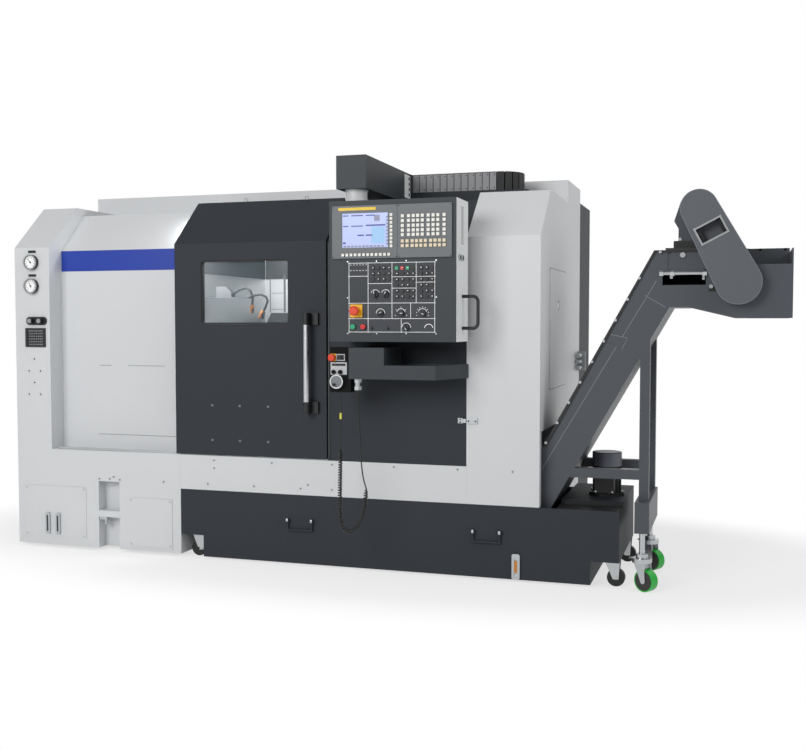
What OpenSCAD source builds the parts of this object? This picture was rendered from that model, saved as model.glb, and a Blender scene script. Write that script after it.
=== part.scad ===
// Slant-bed turning lathe with a sliding door, a hung control pendant, a coolant tank and a chip conveyor.
// Millimetres. X runs along the spindle, Y from the front to the back, Z up from the floor.
// The pieces are drawn from the left end and the front plane.
// One move then puts the origin under the middle.

/* [Covers] */
// Length of the covers along the spindle
body_len = 2618; // [2560:1:2640]
// Depth of the front covers, as far as the tall rear cover
front_depth = 720; // [690:1:760]
// Depth of all the covers, from the front plane to their back
body_depth = 1126; // [1100:1:1200]
// Height at which the front starts to slope back
edge_z = 1475; // [1440:1:1500]
// Height of the roof behind the slope
roof_z = 1690; // [1670:1:1720]
// Depth of the sloping front
slope_y = 237; // [220:1:250]
// Height of the tall rear cover
rear_z = 1795; // [1760:1:1850]
// Thickness of the cover sheets
sheet_t = 4; // [2:0.5:5]
// Gap between the covers and the floor
skirt_z = 15; // [10:1:40]
// Width of the left cabinet
cab_w = 198; // [180:1:215]
// Setback of the headstock cover behind the front plane
hood_y = 100; // [90:1:110]
// Height at which the headstock cover starts to slope back
hood_edge_z = 1464; // [1440:1:1470]
// Rise and depth of the headstock cover's slope
hood_slope = 190; // [180:1:200]
// Length of the lower left cover
lower_len = 910; // [900:1:920]
// Height of the sill under the door
sill_z = 488; // [470:1:500]
// Depth of the sill's folded top
sill_fold = 40; // [36:1:46]
// Width of the right cover
right_w = 318; // [300:1:330]
// Height of the side panel's lower edge
side_z = 645; // [630:1:680]
// Depth of the electrical cabinet behind the covers
ecab_d = 371; // [300:1:420]
// Height of the electrical cabinet
ecab_z = 1727; // [1650:1:1760]
// Left end of the electrical cabinet
ecab_x = 200; // [100:1:300]
// Height of the electrical cabinet above the floor
ecab_foot = 120; // [80:1:200]

/* [Bed and spindle] */
// Left end of the bed
bed_x = 230; // [210:1:240]
// Distance of the bed's right end from the right cover
bed_end_in = 60; // [55:1:70]
// Height of the bed above the floor
bed_z = 60; // [50:1:80]
// Back of the bed
bed_back_y = 1050; // [1020:1:1080]
// Front corner of the slanted face, depth
slant_y = 400; // [390:1:410]
// Front corner of the slanted face, height
slant_z = 495; // [485:1:505]
// Length of the slanted face
slant_len = 750; // [740:1:760]
// Angle of the slanted face
slant_deg = 45; // [44:0.5:46]
// Height of the ways on the slanted face
way_h = 25; // [20:1:30]
// Depth of the spindle axis behind the front plane
spindle_y = 420; // [415:1:425]
// Height of the spindle axis
spindle_z = 945; // [940:1:950]
// Radius of the spindle shaft
spindle_r = 70; // [60:1:80]
// Radius of the bore through the spindle
bar_r = 38; // [30:1:45]
// Radius of the chuck
chuck_r = 157; // [140:1:160]
// Thickness of the chuck
chuck_t = 130; // [110:1:140]
// Width of the jaw slots
jaw_w = 36; // [30:1:40]
// Left side of the saddle
saddle_x = 1450; // [1445:1:1455]
// Width of the saddle along the spindle
saddle_w = 280; // [270:1:290]
// Radius of the turret disc over its corners
turret_r = 190; // [180:1:195]
// Thickness of the turret disc
turret_t = 105; // [95:1:108]
// Distance of the tailstock from the bed's right end
tail_in = 20; // [15:1:25]
// Length of the tailstock
tail_len = 280; // [260:1:285]
// Radius of the tailstock quill
quill_r = 45; // [40:1:50]

/* [Door] */
// Lap of the door over the lower left cover
door_lap = 21; // [17:1:23]
// Width of the door
door_w = 763; // [755:1:764]
// Thickness of the door
door_t = 36; // [32:1:38]
// Gap between the door and the sill
door_gap = 4; // [3:0.5:6]
// Width of the window
window_w = 444; // [400:1:480]
// Height of the window
window_h = 294; // [260:1:310]
// Distance of the window from the door's left edge
window_in = 138; // [120:1:150]
// Height of the window's lower edge
window_z = 1102; // [1080:1:1120]
// Radius of the window's corners
window_r = 15; // [10:1:30]
// Height of the handle's lower end
handle_z = 701; // [680:1:720]
// Length of the handle over its brackets
handle_len = 450; // [420:1:470]
// Diameter of the handle's tube
handle_d = 28; // [24:1:30]
// Distance of the handle from the door's left edge
handle_in = 682; // [670:1:690]

/* [Front panel] */
// Width of the trim between the door and the fixed front panel
trim_w = 22; // [20:1:26]

/* [Control pendant] */
// Left side of the pendant box
pendant_x = 1759; // [1750:1:1765]
// Width of the pendant box
pendant_w = 555; // [540:1:570]
// Height of the pendant box's underside
pendant_z = 1028; // [1020:1:1040]
// Height of the pendant box
pendant_h = 590; // [585:1:600]
// Depth of the pendant box
pendant_d = 190; // [170:1:200]
// Gap between the pendant box and the front plane
pendant_gap = 40; // [36:1:50]
// Width of the screen and keypad unit
unit_w = 522; // [500:1:530]
// Height of the screen and keypad unit
unit_h = 220; // [210:1:226]
// Width of the operator panel
op_w = 381; // [370:1:390]
// Height of the operator panel
op_h = 294; // [285:1:300]
// Radius of the emergency stop's head
stop_r = 20; // [16:1:22]
// Height of the emergency stop over the panel
stop_h = 42; // [38:1:48]
// Radius of the start and stop buttons
button_r = 11; // [9:1:13]
// Width of the overhead arm
arm_w = 133; // [120:1:140]
// Height of the overhead arm
arm_h = 140; // [130:1:150]
// Length of the overhead arm
arm_len = 625; // [600:1:632]
// Height of the swivel collar
collar_h = 54; // [50:1:60]
// Radius of the swivel collar
collar_r = 45; // [38:1:55]
// Width of the energy chain, standing on its side
chain_w = 88; // [70:1:90]
// Thickness of the energy chain
chain_t = 56; // [46:1:60]
// Radius of the energy chain's bend
chain_r = 80; // [75:1:90]
// Pitch of the energy chain's links
chain_pitch = 34; // [30:1:40]

/* [Tray and handset] */
// Left side of the tool tray
tray_x = 1849; // [1848:1:1852]
// Depth of the tool tray
tray_d = 240; // [220:1:250]
// Height of the tray's floor
tray_z = 871; // [860:1:880]
// Height of the tray's connector box
tray_h = 132; // [120:1:140]
// Height of the tray's lip
lip_h = 59; // [50:1:70]
// Width of the tray at its lip
tray_w = 380; // [360:1:400]
// Width of the handset
handset_w = 94; // [85:1:96]
// Height of the handset
handset_h = 192; // [180:1:200]
// Thickness of the handset
handset_t = 45; // [38:1:50]
// Radius of the handset's wheel
dial_r = 30; // [26:1:34]
// Diameter of the handset's cord
cord_d = 6; // [4:0.5:8]
// Outer diameter of the cord's curls
curl_d = 20; // [16:1:24]

/* [Coolant tank] */
// Length of the tank past the covers
tank_out = 335; // [315:1:340]
// Depth of the tank
tank_d = 620; // [600:1:640]
// Height of the tank's rim
tank_z = 325; // [320:1:330]
// Height of the tank's floor over the ground
tank_foot = 10; // [8:1:20]
// Height of the caster notches over the ground
notch_z = 110; // [100:1:120]
// Length of the caster notches
notch_len = 118; // [110:1:125]
// Radius of the tank's casters
tank_wheel_r = 37.5; // [34:0.5:42]

/* [Chip conveyor] */
// Right end of the conveyor
conv_end_x = 3616; // [3580:1:3660]
// Depth of the conveyor's front wall behind the front plane
conv_y = 70; // [60:1:80]
// Width of the conveyor
conv_w = 380; // [360:1:400]
// Height of the conveyor's head
head_z = 1405; // [1380:1:1420]
// Length of the conveyor's head
head_len = 540; // [520:1:550]
// Length of the open discharge hopper
hopper_len = 170; // [150:1:180]
// Pitch of the drive's roller chain
roller_pitch = 24; // [23:0.5:25]
// Teeth of each drive sprocket
teeth = 12; // [10:2:14]
// Side of the support's square tubes
post_w = 40; // [36:1:45]
// Radius of the support's caster wheels
wheel_r = 46; // [44:1:48]
// Width of the support's caster wheels
wheel_w = 38; // [32:1:40]

/* [Hidden] */
$fn = 48;
overrun = 1;
run_gap = 0.05;
slip_gap = 0.3;

// Colours of the finishes
white_paint = "#d2d4d6";
charcoal = "#3c3f44";
pendant_grey = "#4a4e52";
conveyor_grey = "#55575b";
steel = "#b4b7ba";
black = "#1c1d1f";
iron = "#6d7275";

// The whole machine's place
overall_len = conv_end_x;
front_reach = pendant_gap + pendant_d + stop_h;
rear_reach = body_depth + ecab_d;
mid_y = (rear_reach - front_reach) / 2;

// Covers
cab_gap = 2;
lower_fold = 140;
lower_return_y = 380;
roof_low_z = hood_edge_z + hood_slope;
hood_top_y = hood_y + hood_slope;
right_x = body_len - right_w;
door_x = lower_len - door_lap;
panel_x = door_x + door_w + trim_w;
tank_end_x = body_len + tank_out;
trim_in = 14;
pocket_w = 116;
pocket_d = 60;
pocket_x = 461;
pocket_top_z = 341;
pocket_mid_z = 198;
pocket_low_z = 167;
access_t = 3;
hatch_y = 227;
hatch_w = 439;
hatch_z = 814;
hatch_h = 533;
hatch_r = 12;
latch_r = 24;
latch_up_share = 0.7;
louvre_w = 300;
louvre_h = 8;
louvre_pitch = 30;
louvres = 8;
seam_w = 5;
seam_d = 2;
ecab_doors = 3;

// Bed, headstock and slides
bed_end_x = right_x - bed_end_in;
tail_x = bed_end_x - tail_in - tail_len;
base_end_in = 30;
head_end_in = 50;
chuck_in = 5;
lining_in = 24;
lining_end_in = 45;
conv_low_in = 17;
bed_leg_y = 660;
bed_leg_z = 400;
bed_toe = 110;
base_y = 150;
base_z = 470;
base_end_x = lower_len - base_end_in;
way_w = 70;
saddle_way_us = [282, 662];
tail_way_w = 50;
tail_way_us = [45, 165];
foot_r = 60;
foot_t = 20;
foot_bolt_r = 18;
foot_in = 100;
head_x = 250;
head_end_x = lower_len - head_end_in;
head_r = 190;
head_foot_u = 40;
head_foot_end_u = 640;
head_top_u = 560;
head_top_h = 230;
nose_r = 100;
chuck_x = lower_len - chuck_in;
spindle_tail_x = 215;
nose_hole_r = 118;
jaw_slot_d = 25;
jaw_in_r = 45;
jaw_t = 50;
jaw_step_r = 95;
jaw_step_t = 75;
jaw_out_r = 150;
jaw_top_w = 48;
saddle_u = 230;
saddle_end_u = 715;
saddle_top_h = 85;
cross_way_w = 50;
cross_way_in = 30;
cross_way_u = 340;
cross_in = 20;
cross_u = 500;
cross_end_u = 760;
cross_top_h = 160;
turret_u_off = 340;
housing_half = 110;
housing_top_h = 400;
boss_r = 100;
boss_len = 35;
turret_gap = 5;
turret_pin_r = 50;
turret_pin_len = 100;
stations = 12;
holder_w = 66;
holder_out_r = 222;
holder_len = 70;
tool_w = 20;
tool_out_r = 248;
bar_out = 30;
holder_root_r = 136;
tail_base_u = 5;
tail_base_end_u = 205;
tail_base_h = 70;
barrel_r = 85;
quill_out = 60;
centre_len = 70;
tail_wall = 40;
quill_in = 240;

// Inner lining
lining_t = 3;
lining_x = lower_len - lining_in;
lining_end_x = right_x - lining_end_in;
lining_back_y = 1000;
lining_front_y = 110;
lining_low_z = 500;
lining_top_z = 1640;
lining_edge_z = 1455;
lining_slope_y = 290;
way_room = 27;
chute_back_y = 330;
chute_back_z = 345;
chute_t = 4;

// Door and its guides
rail_y = 13;
rail_w = 10;
rail_h = 12;
rail_in = 32;
pane_t = 10;
pane_in = 12;
bracket_w = 46;
bracket_h = 52;
handle_y = 39;
bracket_arm = 30;

// Pendant
unit_in = 16;
unit_top_in = 22;
unit_t = 16;
unit_seat = 8;
op_in = 86;
op_up = 38;
op_t = 8;
screen_w_share = 0.39;
screen_h_share = 0.66;
screen_x_share = 0.085;
screen_z_share = 0.2;
screen_d = 3;
key_w = 10;
key_t = 3;
soft_keys = 12;
side_keys = 9;
pad_x_share = 0.555;
pad_key_w = 14;
pad_col_shares = [0.598, 0.649, 0.688, 0.724, 0.762, 0.81, 0.85, 0.888, 0.939];
pad_row_shares = [0.777, 0.689, 0.597, 0.51, 0.428];
low_col_shares = [0.598, 0.637, 0.679, 0.715, 0.75, 0.787, 0.83, 0.866, 0.902, 0.939];
low_row_shares = [0.309, 0.222];
grid_x_shares = [0.24, 0.515, 0.79];
op_key_w = 14;
op_key_pitch = 23.6;
op_key_t = 4;
key_in_share = 0.03;
key_low_shares = [0.731, 0.485];
knob_r = 13;
knob_t = 9;
knob_bar_w = 7;
knob_bar_t = 12;
knob_x_shares = [0.315, 0.435, 0.375, 0.61, 0.855, 0.67];
knob_z_shares = [0.545, 0.545, 0.275, 0.275, 0.275, 0.075];
toggle_r = 5;
toggle_t = 16;
toggle_x_shares = [0.27, 0.455];
toggle_z_share = 0.07;
stop_x_share = 0.095;
stop_z_share = 0.31;
stop_stem_r = 11;
stop_stem_len = 26;
stop_cap_t = 16;
stop_crown_share = 0.75;
stop_plate = 54;
stop_plate_t = 3;
start_x_share = 0.055;
halt_x_share = 0.175;
button_z_share = 0.085;
button_out = 9;
button_in = 14;
grip_r = 7;
grip_out = 75;
grip_len = 132;
grip_z = 1085;
grip_bend = 22;
grip_y_share = 0.5;

// Overhead arm and energy chain
collar_x = 1848;
collar_y = -135;
arm_front_y = -205;
spigot_r = 26;
spigot_len = 40;
arm_rail_y = 330;
arm_rail_w = 70;
arm_rail_x = 1640;
arm_rail_end_x = 2070;
chain_x = 1922;
chain_y = 462;
chain_run = 12;
bench_x = 1700;
bench_end_x = 2480;
bench_y = 428;
bench_d = 240;
bench_t = 4;
bench_z = 1722;
link_gap = 1;
link_wall = 7;
link_taper_share = 0.66;
bend_links = 9;
chain_bracket_t = 6;

// Tray, gland and handset
box_len = 156;
tray_t = 4;
tray_flare = 80;
gland_r = 13;
gland_nut_r = 17;
gland_len = 48;
gland_nut_len = 16;
gland_x = 1875;
cord_y = -200;
handset_x = 1752;
handset_z = 812;
handset_y = -205;
hanger_t = 3;
hanger_h = 90;
dial_x = 1788;
dial_z = 858;
dial_t = 22;
dial_rim = 4;
dial_pin_r = 5;
dial_pin_len = 20;
mush_r = 14;
mush_t = 22;
mush_x_share = 0.05;
mush_z_share = 0.77;
small_knob_r = 9;
small_knob_t = 10;
small_knob_x_shares = [0.18, 0.5];
small_knob_z_share = 0.45;

// Left cabinet's instruments
gauge_r = 36;
gauge_t = 20;
gauge_rim = 5;
gauge_x = 102;
gauge_zs = [1404, 1288];
plate_x = 66;
plate_w = 116;
plate_h = 40;
plate_z = 1097;
plate_thick = 6;
reg_r = 15;
reg_t = 18;
reg_x_shares = [0.27, 0.73];
vent_x = 59;
vent_w = 115;
vent_z = 989;
vent_h = 93;
vent_bars = 6;
bar_share = 0.5;
sight_w = 25;
sight_h = 105;
sight_t = 10;
sight_xs = [175, 233];
sight_z = 69;
sight_slot_share = 0.4;
tank_sight_x = 2520;
tank_sight_w = 35;
tank_sight_h = 110;
tank_sight_z = 12;
lower_access = [[38, 52, 391, 306], [630, 34, 865, 271]];

// Tank, pump and pipes
tank_t = 4;
plinth_x = 2690;
plinth_y = 130;
plinth_h = 20;
drop_handle_xs = [1521, 2390];
drop_handle_w = 118;
drop_handle_h = 50;
drop_handle_z = 165;
drop_handle_r = 5;
drop_lug = 16;
caster_in = 66;
caster_end_in = 32;
tank_trail = 14;
caster_side = 67;
caster_w = 28;
fork_t = 4;
fork_plate = 64;
axle_r = 6;
pump_x = 2862;
pump_y = 330;
pump_r = 60;
pump_h = 190;
pump_cowl_h = 60;
pump_cowl_r = 64;
pump_flange_r = 78;
pump_flange_t = 14;
fin_count = 20;
fin_t = 3;
fin_h = 3;
pump_box_w = 84;
pump_box_d = 45;
pump_box_h = 76;
pump_box_z = 20;
pipe_r = 10;
pipe_y = 980;
pipe_len = 200;
pipe_zs = [880, 910, 940];
pipe_out = 16;
pipe_plate_y = 1085;
pipe_plate_t = 5;
pipe_plate_h = 100;
pipe_plate_z = 860;
pipe_plate_w = 40;

// Conveyor's side outline and drive
conv_t = 5;
conv_low_x = lower_len + notch_len + conv_low_in;
conv_low_z = 60;
conv_low_h = 170;
conv_bend_x = 2511;
conv_top_bend_x = 2427;
head_x0 = conv_end_x - head_len;
throat_x = 3139;
throat_z = 1171;
chin_x = 3217;
mouth_x = 3397;
mouth_z = 1127;
lip_drop = 63;
back_rise = 24;
lid_t = 6;
lid_out = 8;
slot_x = 3110;
slot_len = 172;
slot_z = 1262;
slot_h = 46;
screw_r = 7;
screw_lap = 3;
screw_up = 2;
guard_foot_x = 3409;
guard_foot_z = 1271;
guard_deg = 27.6;
guard_foot_r = 90;
guard_head_r = 74;
guard_y = 14;
guard_t = 3;
guard_window_w = 105;
guard_window_h = 62;
guard_window_up_share = 0.69;
guard_hole_r = 26;
span_count = 28;
roller_r = 7;
roller_len = 12;
plate_half = 8;
link_t = 2.5;
rivet_r = 4;
rivet_t = 2;
seam_lap = 0.1;
chain_mid_y = 42;
tooth_tip = 3;
tooth_room = 1;
tooth_foot_share = 1.7;
root_room = 0.6;
sprocket_t = 10;
head_shaft_r = 17;
shaft_out = 10;
gear_x = 3151;
gear_w = 140;
gear_y = 120;
gear_d = 150;
gear_h = 162;
gear_base_h = 40;
gear_foot_in = 18;
gear_waist_h = 50;
gear_shoulder_h = 82;
gear_top_in = 26;
motor_r = 62;
motor_len = 200;
motor_cowl_len = 60;
motor_cowl_r = 66;

// Conveyor's support and casters
post_x = 3024;
foot_beam_h = 36;
foot_beam_z = 333;
foot_side = 10;
brace_z = 452;
socket_h = 92;
caster_x = 3044;
caster_ys = [20, 425];
stem_r = 12;
trail = 22;
caster_turn_deg = -33;
fork_z = 118;
fork_disc_r = 40;
fork_disc_t = 18;
pedal_len = 20;
pedal_w = 22;
pedal_t = 6;
cheek_t = 4;
cheek_gap = 1;
cheek_share = 0.7;
stem_top_in = 3;
collar_nut_r = 24;
collar_nut_t = 18;
hub_r = 30;
rim_t = 4;

// Coolant hoses in the work area
hose_y = 275;
hose_r = 6;
hose_arm_w = 40;
hose_arm_t = 7;
hose_arm_z = 1226;
hose_arm_end_x = 1148;
hose_block_x = 973;
hose_block_w = 81;
hose_block_h = 58;
hose_block_cut = 30;
nozzle_r = 12;
nozzle_tip_r = 6;
nozzle_len = 35;
hose_a = [[1046, 1243], [1085, 1268], [1122, 1279], [1147, 1265], [1159, 1231], [1155, 1188]];
hose_b = [[1140, 1229], [1170, 1242], [1201, 1245], [1229, 1234], [1238, 1214], [1225, 1181], [1212, 1160]];

// Route of the handset's cord in the plane of its hanging, X and Z
cord_in = [[1875, 823], [1875, 790], [1877, 740], [1880, 690], [1883, 640], [1886, 590], [1889, 540],
    [1892, 500], [1897, 460], [1904, 430], [1912, 405]];
curl_route = [[1912, 405], [1910, 370], [1904, 330], [1894, 290], [1878, 254], [1856, 226], [1830, 214],
    [1808, 228], [1796, 260], [1792, 300], [1792, 350], [1793, 400], [1794, 460], [1795, 520], [1795, 574]];
cord_out = [[1795, 574], [1795, 610], [1796, 650], [1797, 700], [1797, 750], [1797, 790], [1797, 812]];
cord_sides = 8;
curl_sides = 12;

// Slant frame of a point in the machine's YZ plane
function slant_u(y, z) = (y - slant_y) * cos(slant_deg) + (z - slant_z) * sin(slant_deg);
function slant_n(y, z) = (z - slant_z) * cos(slant_deg) - (y - slant_y) * sin(slant_deg);
spindle_u = slant_u(spindle_y, spindle_z);
spindle_n = slant_n(spindle_y, spindle_z);
slant_top = [slant_y + slant_len * cos(slant_deg), slant_z + slant_len * sin(slant_deg)];
turret_u = spindle_u + turret_u_off;
quill_x = tail_x - quill_out;
quill_tip_x = quill_x - centre_len;

// Section of a folded cover: upright front, slope, then roof, with the sheet's thickness to the inside
function cover_section(y0, z0, ze, yt, zt, yb, t) =
    let (lean = atan2(yt - y0, zt - ze))
    [[y0, z0], [y0, ze], [yt, zt], [yb, zt], [yb, zt - t],
        [yt + t * tan((90 - lean) / 2), zt - t], [y0 + t, ze - t * tan(lean / 2)], [y0 + t, z0]];

// Outline moved inwards by t, for outlines that run counter-clockwise
function unit(v) = v / norm(v);
function inset(pts, t) = [for (i = [0 : len(pts) - 1])
    let (
        a = unit(pts[i] - pts[(i + len(pts) - 1) % len(pts)]),
        b = unit(pts[(i + 1) % len(pts)] - pts[i]),
        na = [-a[1], a[0]],
        nb = [-b[1], b[0]]
    ) pts[i] + (na + nb) * t / (1 + na * nb)];

// Tube swept along points of the XZ plane at the depth y
function heading(p, i) = unit(p[min(i + 1, len(p) - 1)] - p[max(i - 1, 0)]);
function ring(p, i, y, r, n) = let (d = heading(p, i)) [for (k = [0 : n - 1])
    let (a = 360 * k / n) [p[i][0] + r * cos(a) * d[1], y + r * sin(a), p[i][1] - r * cos(a) * d[0]]];
module sweep(p, y, r, n) {
    m = len(p);
    polyhedron(
        points = [for (i = [0 : m - 1]) each ring(p, i, y, r, n)],
        faces = concat(
            [[for (k = [0 : n - 1]) k]],
            [for (i = [0 : m - 2], k = [0 : n - 1])
                [i * n + k, (i + 1) * n + k, (i + 1) * n + (k + 1) % n, i * n + (k + 1) % n]],
            [[for (k = [n - 1 : -1 : 0]) (m - 1) * n + k]]));
}

// Shapes between two places
module in_frame() translate([-overall_len / 2, -mid_y, 0]) children();
module on_slant() translate([0, slant_y, slant_z]) rotate([slant_deg, 0, 0]) children();
module block(p, q) translate(p) cube(q - p);
module along_x(x0, x1) translate([x0, 0, 0]) rotate([90, 0, 90]) linear_extrude(x1 - x0) children();
module along_y(y0, y1) translate([0, y1, 0]) rotate([90, 0, 0]) linear_extrude(y1 - y0) children();
module rod_x(x0, x1, y, z, r) translate([x0, y, z]) rotate([0, 90, 0]) cylinder(h = x1 - x0, r = r);
module rod_y(y0, y1, x, z, r) translate([x, y0, z]) rotate([-90, 0, 0]) cylinder(h = y1 - y0, r = r);
module rod_z(z0, z1, x, y, r) translate([x, y, z0]) cylinder(h = z1 - z0, r = r);
module soft_rect(p, q, r) {
    translate(p + [r, 0]) square([q[0] - p[0] - 2 * r, q[1] - p[1]]);
    translate(p + [0, r]) square([q[0] - p[0], q[1] - p[1] - 2 * r]);
    for (x = [p[0] + r, q[0] - r], y = [p[1] + r, q[1] - r]) translate([x, y]) circle(r);
}
module belt_outline(a, ra, b, rb) {
    d = norm(b - a);
    along = unit(b - a);
    across = [-along[1], along[0]];
    s = (ra - rb) / d;
    c = sqrt(1 - s * s);
    translate(a) circle(ra);
    translate(b) circle(rb);
    polygon([a + ra * (s * along - c * across), b + rb * (s * along - c * across),
        b + rb * (s * along + c * across), a + ra * (s * along + c * across)]);
}

// Bed, headstock and lining
module bed_casting() color(iron) in_frame() {
    rear = [[bed_leg_y, bed_z], [bed_back_y, bed_z], [bed_back_y, slant_top[1]], slant_top,
        [slant_y, slant_z], [slant_y, slant_z - bed_toe], [bed_leg_y, bed_leg_z]];
    base = [[base_y, bed_z], [bed_back_y, bed_z], [bed_back_y, slant_top[1]], slant_top,
        [slant_y, slant_z], [base_y, base_z]];
    along_x(base_end_x - overrun, bed_end_x) polygon(rear);
    along_x(bed_x, base_end_x) polygon(base);
    on_slant() {
        for (u = saddle_way_us)
            block([base_end_x, u - way_w / 2, -overrun], [bed_end_x, u + way_w / 2, way_h]);
        for (u = tail_way_us)
            block([base_end_x, u - tail_way_w / 2, -overrun], [bed_end_x, u + tail_way_w / 2, way_h]);
    }
}
module levelling_foot(x, y) {
    rod_z(0, foot_t, x, y, foot_r);
    rod_z(foot_t, bed_z, x, y, foot_bolt_r);
}
module levelling_feet() color(steel) in_frame() {
    for (x = [bed_x + foot_in, (bed_x + bed_end_x) / 2, bed_end_x - foot_in])
        levelling_foot(x, bed_back_y - foot_in);
    for (x = [bed_x + foot_in, base_end_x - foot_in]) levelling_foot(x, base_y + foot_in);
    levelling_foot(bed_end_x - foot_in, bed_leg_y + foot_in);
}
module headstock() color(iron) in_frame() difference() {
    on_slant() along_x(head_x, head_end_x) {
        translate([spindle_u, spindle_n]) circle(head_r);
        polygon([[head_foot_u, 0], [head_foot_end_u, 0], [head_top_u, head_top_h],
            [spindle_u + head_r * cos(slant_deg), spindle_n + head_r * sin(slant_deg)],
            [spindle_u - head_r * cos(slant_deg), spindle_n - head_r * sin(slant_deg)]]);
    }
    rod_x(head_x - overrun, head_end_x + overrun, spindle_y, spindle_z, spindle_r + run_gap);
}
module inner_lining() color(steel) in_frame() {
    step = way_room * sin(slant_deg);
    rise = way_room * cos(slant_deg);
    difference() {
        along_x(lining_x, lining_x + lining_t) polygon([[lining_front_y, lining_low_z],
            [base_y, lining_low_z], [slant_y - step, slant_z + rise], slant_top + [-step, rise],
            [lining_back_y + lining_t, slant_top[1] + rise], [lining_back_y + lining_t, lining_top_z],
            [lining_slope_y, lining_top_z], [lining_front_y, lining_edge_z]]);
        rod_x(lining_x - overrun, lining_x + lining_t + overrun, spindle_y, spindle_z, nose_hole_r);
    }
    block([lining_x + lining_t, lining_back_y, slant_top[1]],
        [lining_end_x, lining_back_y + lining_t, lining_top_z]);
    along_x(lining_end_x, lining_end_x + lining_t) polygon([[sill_fold, lining_low_z],
        [lining_back_y + lining_t, lining_low_z], [lining_back_y + lining_t, lining_top_z],
        [lining_slope_y, lining_top_z], [sill_fold, lining_edge_z]]);
    along_x(lower_len + slip_gap, lining_end_x) polygon([[sill_fold, base_z - chute_t],
        [chute_back_y, chute_back_z], [chute_back_y, chute_back_z + chute_t], [sill_fold, base_z]]);
}

// Spindle, slides and tailstock
module chuck() color(steel) in_frame() difference() {
    translate([0, spindle_y, spindle_z]) rotate([0, 90, 0]) rotate_extrude() polygon([
        [bar_r, spindle_tail_x], [spindle_r, spindle_tail_x], [spindle_r, head_end_x + slip_gap],
        [nose_r, head_end_x + slip_gap], [nose_r, chuck_x], [chuck_r, chuck_x],
        [chuck_r, chuck_x + chuck_t], [bar_r, chuck_x + chuck_t]]);
    for (a = [0 : 120 : 240]) translate([0, spindle_y, spindle_z]) rotate([a, 0, 0])
        block([chuck_x + chuck_t - jaw_slot_d, -jaw_w / 2, jaw_in_r],
            [chuck_x + chuck_t + overrun, jaw_w / 2, chuck_r + overrun]);
}
module chuck_jaws() color(steel) in_frame() {
    face = chuck_x + chuck_t;
    for (a = [0 : 120 : 240]) translate([0, spindle_y, spindle_z]) rotate([a, 0, 0]) {
        block([face - jaw_slot_d + slip_gap, slip_gap - jaw_w / 2, jaw_in_r + slip_gap],
            [face + slip_gap, jaw_w / 2 - slip_gap, jaw_out_r]);
        block([face + slip_gap, -jaw_top_w / 2, jaw_in_r + slip_gap],
            [face + jaw_t, jaw_top_w / 2, jaw_out_r]);
        block([face + slip_gap, -jaw_top_w / 2, jaw_step_r],
            [face + jaw_step_t, jaw_top_w / 2, jaw_out_r]);
    }
}
module saddle() color(iron) in_frame() on_slant() {
    block([saddle_x, saddle_u, way_h + slip_gap], [saddle_x + saddle_w, saddle_end_u, saddle_top_h]);
    for (x = [saddle_x + cross_way_in, saddle_x + saddle_w - cross_way_in - cross_way_w])
        block([x, cross_way_u, saddle_top_h - overrun],
            [x + cross_way_w, saddle_end_u, saddle_top_h + way_h]);
}
module cross_slide() color(iron) in_frame() on_slant() difference() {
    x0 = saddle_x + cross_in;
    x1 = saddle_x + saddle_w - cross_in;
    union() {
        block([x0, cross_u, saddle_top_h + way_h + slip_gap], [x1, cross_end_u, cross_top_h]);
        block([x0, turret_u - housing_half, cross_top_h - overrun],
            [x1, turret_u + housing_half, housing_top_h]);
        rod_x(x0 - boss_len + turret_gap, x0 + overrun, turret_u, spindle_n, boss_r);
    }
    rod_x(x0 - boss_len, x0 + turret_pin_len, turret_u, spindle_n, turret_pin_r + run_gap);
}
module turret_disc() color(steel) in_frame() on_slant() {
    x1 = saddle_x + cross_in - boss_len;
    x0 = x1 - turret_t;
    rod_x(x1 - overrun, x1 + turret_pin_len, turret_u, spindle_n, turret_pin_r);
    translate([x0, turret_u, spindle_n]) rotate([0, 90, 0])
        cylinder(h = turret_t, r = turret_r, $fn = stations);
    mid = (x0 + x1) / 2;
    for (i = [0 : stations - 1])
        translate([0, turret_u, spindle_n]) rotate([360 * (i + 1 / 2) / stations, 0, 0]) {
        block([mid - holder_len / 2, -holder_w / 2, holder_root_r],
            [mid + holder_len / 2, holder_w / 2, holder_out_r]);
        if (i % 2 == 0)
            block([mid - tool_w / 2, -tool_w / 2, turret_r],
                [mid + tool_w / 2, tool_w / 2, tool_out_r]);
        if (i % 2 == 1)
            rod_x(x0 - bar_out, mid, 0, (turret_r + holder_out_r) / 2, tool_w / 2);
    }
}
module tailstock() color(iron) in_frame() on_slant() difference() {
    union() {
        block([tail_x, tail_base_u, way_h + slip_gap], [tail_x + tail_len, tail_base_end_u, tail_base_h]);
        along_x(tail_x, tail_x + tail_len) {
            translate([spindle_u, spindle_n]) circle(barrel_r);
            polygon([[tail_base_u, tail_base_h - overrun], [tail_base_end_u, tail_base_h - overrun],
                [spindle_u + barrel_r * cos(slant_deg), spindle_n - barrel_r * sin(slant_deg)],
                [spindle_u - barrel_r * cos(slant_deg), spindle_n + barrel_r * sin(slant_deg)]]);
        }
    }
    rod_x(tail_x - overrun, tail_x + tail_len - tail_wall, spindle_u, spindle_n, quill_r + run_gap);
}
module quill() color(steel) in_frame() translate([0, spindle_y, spindle_z]) rotate([0, 90, 0])
    rotate_extrude() polygon([[0, quill_tip_x], [quill_r / 2, quill_x - centre_len / 2],
        [quill_r / 2, quill_x], [quill_r, quill_x], [quill_r, quill_x + quill_in],
        [0, quill_x + quill_in]]);
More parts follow.
